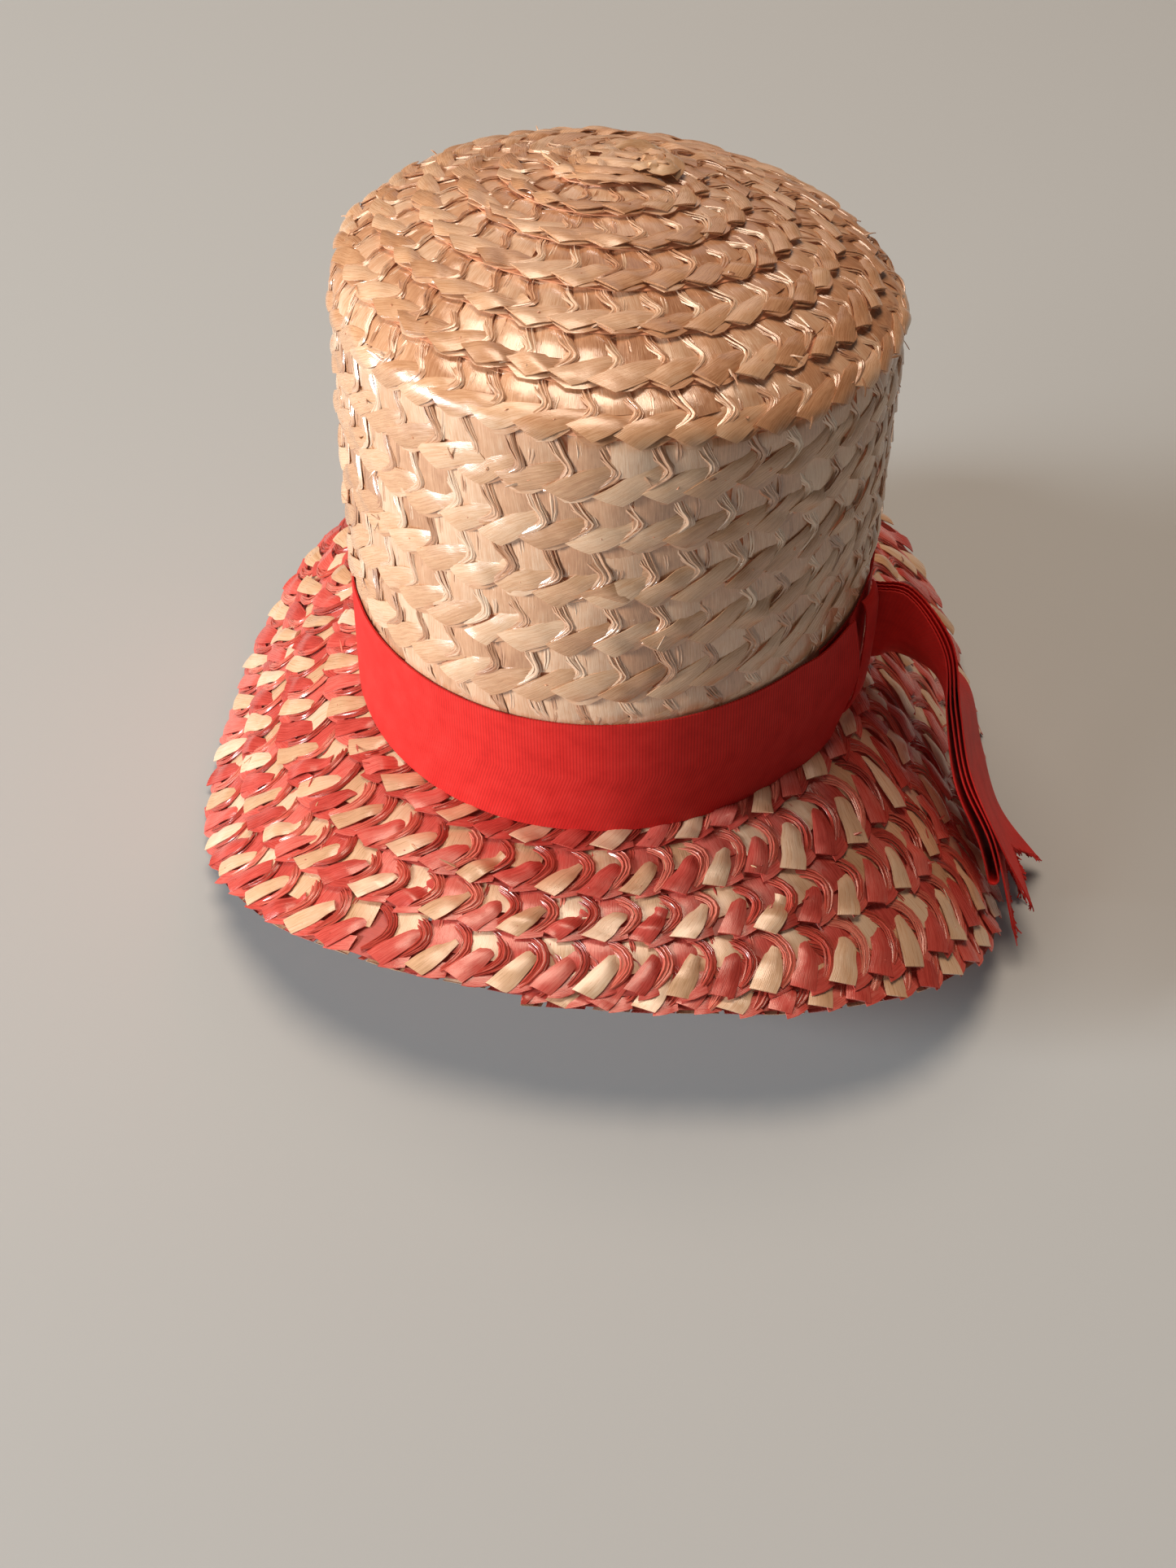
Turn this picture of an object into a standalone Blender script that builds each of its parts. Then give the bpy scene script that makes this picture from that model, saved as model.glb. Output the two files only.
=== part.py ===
"""Straw hat with a tall round-topped crown, a brim that droops at both sides, and a ribbon band
with a knot, one loop and two tails at the right-hand side.

Frame: +Z up, +Y towards the back of the hat, +X towards its bow side. The origin lies on the surface
that the two side lobes of the brim rest on, under the middle of the hat's outline.
Lengths are metres. The crown and the brim are turned blanks that are then drawn to shape, as straw is
on a block; the ribbons are flat grids that are bent along their paths.
"""
import math

import bmesh
import bpy
from mathutils import Vector

# ---------------------------------------------------------------- driving dimensions
HEAD_HALF_WIDTH = 0.0849       # head oval at the crown's foot, outside, half across
HEAD_HALF_LENGTH = 0.0969      # the same, half front to back
FOOT_HEIGHT = 0.0620           # crown's foot above the surface the hat rests on
CROWN_WALL = 0.1357            # upright part of the crown
CROWN_DOME = 0.0272            # rise of the rounded top above it
DOME_POWER = 1.557             # 2 is an ellipse; less makes the shoulder rounder
WALL_SPREAD = 0.09             # widening of the wall for each metre of height
STRAW = 0.0018                 # wall of sewn straw plait
CROWN_PITCH = 0.01786          # one row of plait to the next, along the crown
FIRST_ROW = 0.00801            # centre of the top to the first row's lower edge
ROW_STEP = 0.0010              # how far a row's lower edge stands off the row below
BUTTON_RISE = 0.0024           # the plait's coiled start, proud of the top

BRIM_ROWS = 5                  # rows of plait from the crown's foot to the edge
BRIM_STEP = 0.0010
BRIM_BELLY = 0.0035            # how far the brim bulges above a straight slope
COLLAR = 0.0060                # upright start of the brim, inside the crown's foot
LOBE_CUT = 0.0004              # the lobes' edge is cut level by this much

RIBBON_WIDTH = 0.0429
RIBBON = 0.0010                # thickness of the ribbon
GAP = 0.0006                   # between pieces that touch

CENTRE_X = 0.00707              # middle of the whole outline, measured from the head oval's centre
CENTRE_Y = 0.00498

CROWN_SEGMENTS = 48
BRIM_SEGMENTS = 54

# The worn hat has slumped: each level of the crown tips a little, and the crown leans.
# columns: rise per metre towards +X, rise per metre towards +Y
TILT = {"foot": (0.076, 0.011), "top": (-0.066, -0.055)}
LEAN_X = -0.022                # sideways drift per metre of height

# Brim edge seen from above: mean radius and harmonics, in metres.
# columns: harmonic, cosine part, sine part
EDGE_MEAN = 0.15404
EDGE_OUTLINE = [
    (1, 0.00362, 0.00033),
    (2, -0.00860, 0.00121),
    (3, -0.00392, -0.00189),
    (4, -0.00548, -0.00156),
    (5, 0.00045, 0.00144),
    (6, -0.00041, 0.00122),
]
# Brim edge seen from the side, measured from the crown's foot.
EDGE_LOBE = -0.0620            # level of both side lobes
EDGE_FRONT = -0.0230
EDGE_BACK = -0.0210
LOBE_SINE = 0.28               # the lobes are level while |sin(angle)| is below this

# The outermost ribbon's path from the knot to its end, measured from the head oval's centre at the
# crown's foot. columns: section, edge nearer the front (x, y, z), edge nearer the back (x, y, z)
RIBBON_PATH = [
    ("at_knot", (0.0846, -0.0236, 0.0452), (0.0850, -0.0214, 0.0160)),
    ("top_of_arch", (0.0961, -0.0299, 0.0477), (0.0900, -0.0178, 0.0149)),
    ("turning", (0.1098, -0.0409, 0.0352), (0.1006, -0.0092, 0.0100)),
    ("falling", (0.1148, -0.0502, 0.0147), (0.1219, -0.0121, -0.0013)),
    ("over_brim", (0.1209, -0.0596, -0.0059), (0.1299, -0.0218, -0.0219)),
    ("near_edge", (0.1319, -0.0698, -0.0241), (0.1384, -0.0321, -0.0414)),
    ("end", (0.1443, -0.0797, -0.0418), (0.1535, -0.0412, -0.0560)),
]
# The inner tail and the loop drop away from the outer tail after the last section but one.
INNER_PATH = RIBBON_PATH[:-1] + [("end", (0.1402, -0.0845, -0.0478), (0.1482, -0.0560, -0.0583))]
# How far each ribbon lies under the outermost one.
# columns: ribbon, at the knot, on the arch, near the brim's edge
LAYERS = {
    "tail_outer": (0.0, 0.0, 0.0),
    "tail_inner": (0.0018, 0.0028, 0.0026),
    "bow_loop": (0.0036, 0.0056, 0.0048),
}
FISHTAIL = 0.62                # depth of the tails' V cut, in sections
LOOP_END = 5.40                # section number of the loop's fold
LOOP_OPEN = 0.0040             # between the loop's two layers at the fold
LOOP_PRESSED = 0.0016          # the same at the knot

# The ribbon band's outer end lifts off before the knot. columns: angle in degrees, distance off the crown
BAND_LIFT = [(-50.0, 0.0), (-38.0, 0.0020), (-26.0, 0.0060)]
BAND_START = -40.0             # the inner end is hidden under the outer one
BAND_END = (-33.0, -28.0, -28.5)   # angle of the outer end at its bottom, middle and top

# Upright strap of the knot. columns: height above the crown's foot, distance off the crown
KNOT_PROFILE = [
    (0.0022, 0.0030), (0.0050, 0.0040), (0.0100, 0.0054), (0.0250, 0.0061),
    (0.0380, 0.0058), (0.0428, 0.0046), (0.0442, 0.0030),
]
KNOT_LEFT, KNOT_RIGHT = -24.2, -17.0   # its two long edges, in degrees
KNOT_SKEW = 3.0                # the bottom sits this many degrees further to the front

COLOURS = {                    # columns: colour, roughness
    "straw": ((0.80, 0.56, 0.40), 0.55),
    "mixed_straw": ((0.72, 0.24, 0.17), 0.55),
    "ribbon": ((0.60, 0.035, 0.035), 0.75),
}


# ---------------------------------------------------------------- scene and helpers
for old in list(bpy.data.objects):
    bpy.data.objects.remove(old, do_unlink=True)

hat = bpy.data.collections.new("straw_hat")
cutters = bpy.data.collections.new("cutters")
for made in (hat, cutters):
    bpy.context.scene.collection.children.link(made)


def material(name, key):
    colour, roughness = COLOURS[key]
    mat = bpy.data.materials.new(name)
    mat.use_nodes = True
    shader = mat.node_tree.nodes["Principled BSDF"]
    shader.inputs["Base Color"].default_value = (*colour, 1.0)
    shader.inputs["Roughness"].default_value = roughness
    shader.inputs["Metallic"].default_value = 0.0
    mat.diffuse_color = (*colour, 1.0)
    return mat


def smooth_step(x):
    x = min(max(x, 0.0), 1.0)
    return x * x * (3.0 - 2.0 * x)


def through(rows, x):
    """Straight reading between the rows of a table of (x, y)."""
    if x <= rows[0][0]:
        return rows[0][1]
    for (x0, y0), (x1, y1) in zip(rows, rows[1:]):
        if x <= x1:
            return y0 + (y1 - y0) * (x - x0) / (x1 - x0)
    return rows[-1][1]


def curve_at(points, u):
    """Smooth curve through points, one for each whole value of u."""
    last = len(points) - 1
    i = min(max(int(math.floor(u)), 0), last - 1)
    f = u - i
    p1, p2 = points[i], points[i + 1]
    p0 = points[i - 1] if i > 0 else p1 * 2 - p2
    p3 = points[i + 2] if i + 2 <= last else p2 * 2 - p1
    return 0.5 * (2 * p1 + (p2 - p0) * f + (2 * p0 - 5 * p1 + 4 * p2 - p3) * f * f
                  + (3 * p1 - p0 - 3 * p2 + p3) * f ** 3)


def finish(obj, mat, thickness, offset, sharp=35.0):
    """Give an open surface its thickness, its material and smooth shading."""
    wall = obj.modifiers.new("wall", "SOLIDIFY")
    wall.thickness = thickness
    wall.offset = offset
    obj.data.materials.append(mat)
    obj.data.shade_smooth()
    obj.data.set_sharp_from_angle(angle=math.radians(sharp))
    hat.objects.link(obj)
    return obj


def turned_blank(name, profile, segments):
    """Open surface turned from a profile of (radius, height) that runs outwards and down."""
    bm = bmesh.new()
    verts = [bm.verts.new((r, 0.0, z)) for r, z in profile]
    edges = [bm.edges.new(pair) for pair in zip(verts, verts[1:])]
    bmesh.ops.spin(bm, geom=verts + edges, cent=(0, 0, 0), axis=(0, 0, 1),
                   angle=2 * math.pi, steps=segments, use_merge=True)
    bmesh.ops.remove_doubles(bm, verts=bm.verts, dist=0.00001)
    mesh = bpy.data.meshes.new(name)
    bm.to_mesh(mesh)
    bm.free()
    return mesh


def face_out(mesh):
    bm = bmesh.new()
    bm.from_mesh(mesh)
    total = sum((f.normal.dot(f.calc_center_median() - Vector((0, 0, FOOT_HEIGHT)))) * f.calc_area()
                for f in bm.faces)
    if total < 0:
        bmesh.ops.reverse_faces(bm, faces=bm.faces)
    bm.to_mesh(mesh)
    bm.free()


# ---------------------------------------------------------------- the hat's own shape
TOP = CROWN_WALL + CROWN_DOME


def slump(x, y, z):
    """Move a point of the upright hat (height from the crown's foot) to its slumped place."""
    share = min(max((z - RIBBON_WIDTH) / (TOP - RIBBON_WIDTH), 0.0), 1.0)
    fx, fy = TILT["foot"]
    tx, ty = TILT["top"]
    z += (1 - share) * (fx * x + fy * y) + share * (tx * x + ty * y)
    return Vector((x + LEAN_X * z - CENTRE_X, y - CENTRE_Y, z + FOOT_HEIGHT))


def crown_profile(steps=160):
    """Rows of (size of the oval, height, way along the surface) from the middle of the top down."""
    rows = []
    for i in range(steps + 1):
        t = math.pi / 2 * (1 - i / steps)
        size = (1 + WALL_SPREAD * CROWN_WALL) * max(math.cos(t), 0.0) ** (2 / DOME_POWER)
        rows.append((size, CROWN_WALL + CROWN_DOME * math.sin(t) ** (2 / DOME_POWER)))
    for i in range(1, steps + 1):
        z = CROWN_WALL * (1 - i / steps)
        rows.append((1 + WALL_SPREAD * z, z))
    out, way = [], 0.0
    for i, (size, z) in enumerate(rows):
        if i:
            way += math.hypot(HEAD_HALF_LENGTH * (size - rows[i - 1][0]), z - rows[i - 1][1])
        out.append((size, z, way))
    return out


PROFILE = crown_profile()
CROWN_LENGTH = PROFILE[-1][2]


def crown_at(way):
    """Size of the oval, height, and outward direction (out, up) at a way along the surface."""
    rows = PROFILE
    i = 0
    while i < len(rows) - 2 and rows[i + 1][2] < way:
        i += 1
    a, b = rows[i], rows[i + 1]
    f = (way - a[2]) / max(b[2] - a[2], 1e-9)
    f = min(max(f, 0.0), 1.0)
    out, up = -(b[1] - a[1]), HEAD_HALF_LENGTH * (b[0] - a[0])
    size = math.hypot(out, up)
    return a[0] + f * (b[0] - a[0]), a[1] + f * (b[1] - a[1]), out / size, up / size


def side_point(angle, height, off):
    """Point beside the crown's wall, `off` outside it."""
    size = 1 + WALL_SPREAD * height
    x, y = HEAD_HALF_WIDTH * size * math.cos(angle), HEAD_HALF_LENGTH * size * math.sin(angle)
    nx, ny = x / HEAD_HALF_WIDTH ** 2, y / HEAD_HALF_LENGTH ** 2
    n = math.hypot(nx, ny)
    return slump(x + off * nx / n, y + off * ny / n, height)


# ---------------------------------------------------------------- crown
def crown():
    tips = []
    way = FIRST_ROW
    while way < CROWN_LENGTH - RIBBON_WIDTH - 0.002:
        tips.append(way)
        way += CROWN_PITCH
    stations = [(0.0, BUTTON_RISE)]                     # way along the surface, lift off it
    for i, tip in enumerate(tips):
        lift = ROW_STEP if i else BUTTON_RISE * 0.8
        stations += [(tip - 0.0006, lift), (tip + 0.0012, 0.0)]
    stations += [(CROWN_LENGTH - RIBBON_WIDTH, 0.0), (CROWN_LENGTH, 0.0)]

    profile = []
    for way, lift in stations:
        size, z, out, up = crown_at(way)
        profile.append((HEAD_HALF_WIDTH * size + lift * out, z + lift * up))
    profile[0] = (0.0, profile[0][1])
    mesh = turned_blank("crown", profile, CROWN_SEGMENTS)
    stretch = HEAD_HALF_LENGTH / HEAD_HALF_WIDTH
    for v in mesh.vertices:
        v.co = slump(v.co.x, v.co.y * stretch, v.co.z)
    face_out(mesh)
    return finish(bpy.data.objects.new("crown", mesh), material("straw", "straw"), STRAW, -1.0)


# ---------------------------------------------------------------- brim
def edge_point(angle):
    r = EDGE_MEAN + sum(c * math.cos(k * angle) + s * math.sin(k * angle) for k, c, s in EDGE_OUTLINE)
    side = math.sin(angle)
    level = EDGE_FRONT if side < 0 else EDGE_BACK
    z = EDGE_LOBE + (level - EDGE_LOBE) * smooth_step((abs(side) - LOBE_SINE) / (1 - LOBE_SINE))
    return Vector((r * math.cos(angle) - CENTRE_X, r * math.sin(angle) - CENTRE_Y,
                   z + FOOT_HEIGHT - LOBE_CUT))


def foot_point(angle, inset, height):
    """Point on the head oval's foot in the direction `angle`, `inset` inside it."""
    r = 1 / math.hypot(math.cos(angle) / HEAD_HALF_WIDTH, math.sin(angle) / HEAD_HALF_LENGTH) - inset
    return slump(r * math.cos(angle), r * math.sin(angle), height)


def brim_point(angle, share, lift):
    """share runs from 0 at the crown's foot to 1 at the edge; below 0 is the collar."""
    inset = STRAW + 2 * GAP
    if share < 0:
        return foot_point(angle, inset, -0.0014 - (share + 0.1) * COLLAR / 0.9)
    a, b = foot_point(angle, 0.0, -0.0020), edge_point(angle)
    slope = b - a
    outward = Vector((math.cos(angle), math.sin(angle), 0.0))
    normal = Vector((-slope.z * outward.x, -slope.z * outward.y, slope.dot(outward))).normalized()
    return a + slope * share + normal * (4 * BRIM_BELLY * share * (1 - share) + lift)


def brim():
    stations = [(-1.0, 0.0), (-0.1, 0.0), (0.0, 0.0)]
    for row in range(1, BRIM_ROWS + 1):
        tip = row / BRIM_ROWS
        if row < BRIM_ROWS:
            stations += [(tip - 0.004, BRIM_STEP), (tip + 0.014, 0.0)]
        else:
            stations += [(tip, BRIM_STEP * 0.5)]
    blank = [(0.05 + 0.02 * (share + 1), 0.0) for share, lift in stations]
    mesh = turned_blank("brim", blank, BRIM_SEGMENTS)
    for v in mesh.vertices:
        share = (math.hypot(v.co.x, v.co.y) - 0.05) / 0.02 - 1
        nearest = min(stations, key=lambda row: abs(row[0] - share))
        v.co = brim_point(math.atan2(v.co.y, v.co.x), *nearest)
    face_out(mesh)
    obj = finish(bpy.data.objects.new("brim", mesh), material("mixed_straw", "mixed_straw"), STRAW, -1.0)

    bpy.ops.mesh.primitive_cube_add(size=1.0, location=(0.0, 0.0, -0.01))
    block = bpy.context.object
    block.name = "level_cutter"
    block.scale = (0.5, 0.5, 0.02)
    bpy.context.view_layer.update()
    for owner in list(block.users_collection):
        owner.objects.unlink(block)
    cutters.objects.link(block)
    block.hide_render = True
    block.display_type = "WIRE"
    level = obj.modifiers.new("level_lobes", "BOOLEAN")
    level.operation = "DIFFERENCE"
    level.solver = "EXACT"
    level.object = block
    return obj


# ---------------------------------------------------------------- ribbons
def strip(name, along, across, place, mat, thickness=RIBBON):
    """Flat grid bent by place(u, v), with u and v from 0 to 1, then given its thickness."""
    bpy.ops.mesh.primitive_grid_add(x_subdivisions=along, y_subdivisions=across, size=2.0)
    obj = bpy.context.object
    obj.name = obj.data.name = name
    for owner in list(obj.users_collection):
        owner.objects.unlink(obj)
    for v in obj.data.vertices:
        v.co = place((v.co.x + 1) / 2, (v.co.y + 1) / 2)
    return finish(obj, mat, thickness, 0.0)


def band_place(u, v):
    low, middle, high = BAND_END
    end = 360 + (low + (middle - low) * 2 * v if v < 0.5 else middle + (high - middle) * (2 * v - 1))
    angle = BAND_START + (end - BAND_START) * u
    height = -0.0008 + RIBBON_WIDTH * v
    lift = through(BAND_LIFT, angle - 360) * (0.40 + 0.60 * math.sin(math.pi * v)) if angle > 180 else 0.0
    first = 0.0016 * smooth_step((angle - 360 + 48) / 8) if angle > 180 else 0.0
    return side_point(math.radians(angle), height, GAP + RIBBON / 2 + max(lift, first))


def knot_place(u, v):
    heights = [Vector((z, off, 0)) for z, off in KNOT_PROFILE]
    row = curve_at(heights, u * (len(heights) - 1))
    angle = KNOT_LEFT + (KNOT_RIGHT - KNOT_LEFT) * v - KNOT_SKEW * (1 - u)
    crown_in = 0.0010 * (2 * v - 1) ** 2
    return side_point(math.radians(angle), row.x, row.y - crown_in + RIBBON / 2)


SECTIONS = len(RIBBON_PATH) - 1


def layer_depth(name, u):
    knot, arch, edge = LAYERS[name]
    return through([(0.0, knot), (2.0, arch), (SECTIONS - 1, edge)], u)


def ribbon_point(rows, u, v, depth):
    """Point on a ribbon that lies `depth` under the path of the rows."""
    near, far = [Vector(row[1]) for row in rows], [Vector(row[2]) for row in rows]
    a, b = curve_at(near, u), curve_at(far, u)
    ahead = (curve_at(near, u + 0.02) + curve_at(far, u + 0.02)
             - curve_at(near, u - 0.02) - curve_at(far, u - 0.02))
    under = (b - a).cross(ahead).normalized()
    return a.lerp(b, v) + under * depth + Vector((-CENTRE_X, -CENTRE_Y, FOOT_HEIGHT))


def tail_place(name, rows):
    """The grid's far end is cut to a V."""
    def place(u, v):
        s = u * (SECTIONS - FISHTAIL * (1 - abs(2 * v - 1)))
        depth = layer_depth(name, s)
        return ribbon_point(rows, s, v, depth)
    return place


def loop_place(u, v):
    """Out along the first part, round the fold, and back underneath."""
    out, fold = 0.47, 0.56

    def opening(s):
        return LOOP_PRESSED + (LOOP_OPEN - LOOP_PRESSED) * smooth_step((s - 2.0) / (LOOP_END - 2.0))

    if u <= out:
        s = LOOP_END * u / out
        return ribbon_point(INNER_PATH, s, v, layer_depth("bow_loop", s))
    if u >= fold:
        s = LOOP_END * (1 - u) / (1 - fold)
        return ribbon_point(INNER_PATH, s, v, layer_depth("bow_loop", s) + opening(s))
    turn = math.pi * (u - out) / (fold - out)
    depth, half = layer_depth("bow_loop", LOOP_END), opening(LOOP_END) / 2
    here = ribbon_point(INNER_PATH, LOOP_END, v, depth + half * (1 - math.cos(turn)))
    ahead = (ribbon_point(INNER_PATH, LOOP_END, v, depth)
             - ribbon_point(INNER_PATH, LOOP_END - 0.02, v, depth)).normalized()
    return here + ahead * half * math.sin(turn)


# ---------------------------------------------------------------- assembly
crown()
brim()
ribbon = material("ribbon", "ribbon")
strip("hat_band", 58, 5, band_place, ribbon)
strip("bow_knot", 11, 4, knot_place, ribbon)
strip("tail_outer", 25, 5, tail_place("tail_outer", RIBBON_PATH), ribbon)
strip("tail_inner", 25, 5, tail_place("tail_inner", INNER_PATH), ribbon)
strip("bow_loop", 46, 3, loop_place, ribbon)
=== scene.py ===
"""Looks of the straw hat: sewn plait rows strand by strand on the crown and brim, and grosgrain ribbon
for the band, the knot, the loop and the two tails. Metres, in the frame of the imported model.
"""
import math

import bpy
import numpy as np
from mathutils import Matrix


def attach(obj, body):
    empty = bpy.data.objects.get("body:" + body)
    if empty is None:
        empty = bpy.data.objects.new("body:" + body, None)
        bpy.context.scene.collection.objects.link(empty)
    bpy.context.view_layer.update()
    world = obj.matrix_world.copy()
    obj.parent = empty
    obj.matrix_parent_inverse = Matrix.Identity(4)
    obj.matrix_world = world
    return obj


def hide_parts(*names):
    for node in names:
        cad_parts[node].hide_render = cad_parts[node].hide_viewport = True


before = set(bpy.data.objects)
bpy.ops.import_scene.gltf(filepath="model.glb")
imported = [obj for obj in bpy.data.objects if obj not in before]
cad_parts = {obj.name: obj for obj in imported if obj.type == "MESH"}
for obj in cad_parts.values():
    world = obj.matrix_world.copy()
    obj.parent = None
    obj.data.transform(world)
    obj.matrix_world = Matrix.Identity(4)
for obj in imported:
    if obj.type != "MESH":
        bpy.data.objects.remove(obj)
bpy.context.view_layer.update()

rng = np.random.default_rng(20)
MM = 0.001

# ---------------------------------------------------------------- the hat's shape, as in the CAD
HEAD_HALF_WIDTH, HEAD_HALF_LENGTH = 0.0849, 0.0969
FOOT_HEIGHT = 0.0620
CROWN_WALL, CROWN_DOME, DOME_POWER, WALL_SPREAD = 0.1357, 0.0272, 1.557, 0.09
RIBBON_WIDTH = 0.0429
CENTRE_X, CENTRE_Y = 0.00707, 0.00498
TOP = CROWN_WALL + CROWN_DOME
TILT = {"foot": (0.076, 0.011), "top": (-0.066, -0.055)}
LEAN_X = -0.022
BRIM_BELLY = 0.0035
EDGE_MEAN = 0.15404
# columns: harmonic, cosine part, sine part
EDGE_OUTLINE = [
    (1, 0.00362, 0.00033),
    (2, -0.00860, 0.00121),
    (3, -0.00392, -0.00189),
    (4, -0.00548, -0.00156),
    (5, 0.00045, 0.00144),
    (6, -0.00041, 0.00122),
]
EDGE_LOBE, EDGE_FRONT, EDGE_BACK, LOBE_SINE = -0.0620, -0.0230, -0.0210, 0.28


def smooth(x):
    x = np.clip(x, 0.0, 1.0)
    return x * x * (3 - 2 * x)


def slump(x, y, z):
    share = np.clip((z - RIBBON_WIDTH) / (TOP - RIBBON_WIDTH), 0.0, 1.0)
    fx, fy = TILT["foot"]
    tx, ty = TILT["top"]
    z = z + (1 - share) * (fx * x + fy * y) + share * (tx * x + ty * y)
    return np.stack([x + LEAN_X * z - CENTRE_X, y - CENTRE_Y, z + FOOT_HEIGHT], -1)


def meridian(steps=300):
    """Size of the oval, height, and way along the surface from the top's middle to the foot."""
    t = np.linspace(math.pi / 2, 0, steps + 1)
    size = (1 + WALL_SPREAD * CROWN_WALL) * np.maximum(np.cos(t), 0) ** (2 / DOME_POWER)
    z = CROWN_WALL + CROWN_DOME * np.sin(t) ** (2 / DOME_POWER)
    down = np.linspace(CROWN_WALL, 0, steps + 1)[1:]
    size = np.concatenate([size, 1 + WALL_SPREAD * down])
    z = np.concatenate([z, down])
    way = np.concatenate([[0], np.cumsum(np.hypot(HEAD_HALF_LENGTH * np.diff(size), np.diff(z)))])
    return size, z, way


SIZE, HEIGHT, WAY = meridian()
BAND_TOP_WAY = WAY[-1] - RIBBON_WIDTH


def crown_surface(way, angle):
    way = np.abs(way)
    size, z = np.interp(way, WAY, SIZE), np.interp(way, WAY, HEIGHT)
    return slump(HEAD_HALF_WIDTH * size * np.cos(angle), HEAD_HALF_LENGTH * size * np.sin(angle), z)


def brim_edge(angle):
    r = EDGE_MEAN + sum(c * np.cos(k * angle) + s * np.sin(k * angle) for k, c, s in EDGE_OUTLINE)
    side = np.sin(angle)
    level = np.where(side < 0, EDGE_FRONT, EDGE_BACK)
    z = EDGE_LOBE + (level - EDGE_LOBE) * smooth((np.abs(side) - LOBE_SINE) / (1 - LOBE_SINE))
    return np.stack([r * np.cos(angle) - CENTRE_X, r * np.sin(angle) - CENTRE_Y, z + FOOT_HEIGHT], -1)


def foot(angle, inset, height):
    r = 1 / np.hypot(np.cos(angle) / HEAD_HALF_WIDTH, np.sin(angle) / HEAD_HALF_LENGTH) - inset
    return slump(r * np.cos(angle), r * np.sin(angle), height + 0 * r)


def brim_surface(share, angle):
    a, b = foot(angle, 0.0, -0.0020), brim_edge(angle)
    slope = b - a
    out = np.stack([np.cos(angle), np.sin(angle), 0 * angle], -1)
    along = (slope * out).sum(-1)
    normal = np.stack([-slope[..., 2] * out[..., 0], -slope[..., 2] * out[..., 1], along], -1)
    normal /= np.linalg.norm(normal, axis=-1, keepdims=True)
    s = share[..., None]
    skirt = a + slope * s + normal * (4 * BRIM_BELLY * s * (1 - s))
    collar = foot(angle, 0.0025, -0.0020 - share * 0.062)
    return np.where(s < 0, collar, skirt)


# ---------------------------------------------------------------- the plait's spiral
PITCH = 17.2                                   # mm across one row
UNIT = 13.3                                    # mm along the row from one strand to the next
# Where the rows' lower edges lie. Each whole number of rows is at the front.
# columns: row, way from the spiral's middle (crown) in metres, or share of the brim's slope
CROWN_ROWS = [
    (-1.2, 0.0000), (0.0, 0.02050), (1.0, 0.03730), (2.0, 0.05150), (3.0, 0.06800), (4.0, 0.08310),
    (5.0, 0.09810), (6.0, 0.11090), (7.0, 0.12505), (8.0, 0.13962), (9.0, 0.15511), (10.0, 0.17196),
    (11.0, 0.18919), (12.0, 0.20650), (13.0, 0.22380), (14.0, 0.24100),
]
# How far behind the top's middle a turn of the spiral is centred, by its size
SWIRL_BACK = [
    (0.0, 0.0200), (0.0373, 0.0205), (0.0515, 0.0180), (0.0680, 0.0151), (0.0831, 0.0125), (0.0981, 0.0090),
    (0.1109, 0.0062), (0.1250, 0.0035), (0.1396, 0.0015), (0.1551, 0.0),
]
SWIRL_LEFT = [(0.0, -0.0040), (0.040, -0.0030), (0.098, 0.0)]
BUTTON_RISE = [(0.0, 1.9), (0.018, 1.7), (0.024, 1.0), (0.036, 0.3), (0.050, 0.0)]       # mm, by size
BRIM_ROWS = [(-3.0, -0.62), (-2.0, -0.36), (-1.0, -0.10), (0.0, 0.158), (1.0, 0.437), (2.0, 0.676), (3.0, 0.960),
             (4.0, 1.015)]
BRIM_END = math.radians(-97.5)                 # where the last row of plait ends


def table(rows, x):
    t = np.array(rows)
    return np.interp(x, t[:, 0], t[:, 1])


def crown_map(row, across):
    """Point on the crown at a place along the spiral and a number of rows inwards from its lower edge."""
    angle = -math.pi / 2 - 2 * math.pi * row
    r = np.maximum(table(CROWN_ROWS, row - across), 0.0002)
    x, y = r * np.cos(angle) + table(SWIRL_LEFT, r), r * np.sin(angle) + table(SWIRL_BACK, r)
    return crown_surface(np.hypot(x, y), np.arctan2(y, x))


def brim_map(row, across):
    angle = BRIM_END - 2 * math.pi * row
    rows = np.array(BRIM_ROWS)
    wide = np.interp(row, [3.0, 3.05], [0.0, 1.0])
    inner = np.interp(row - across, rows[:, 0], rows[:, 1])
    own = np.interp(row, rows[:, 0], rows[:, 1]) - 0.27 * across
    share = inner * (1 - wide) + own * wide
    share = share * (1 - 0.012 * np.cos(angle) ** 2)
    return brim_surface(share, angle)


def covered(kind, row):
    """Share of a row's width that the row above leaves to be seen."""
    if kind == "crown":
        return np.ones_like(row)
    return np.interp(row, [3.0, 3.05, 4.0], [1.0, 0.95, 0.22])


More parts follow.
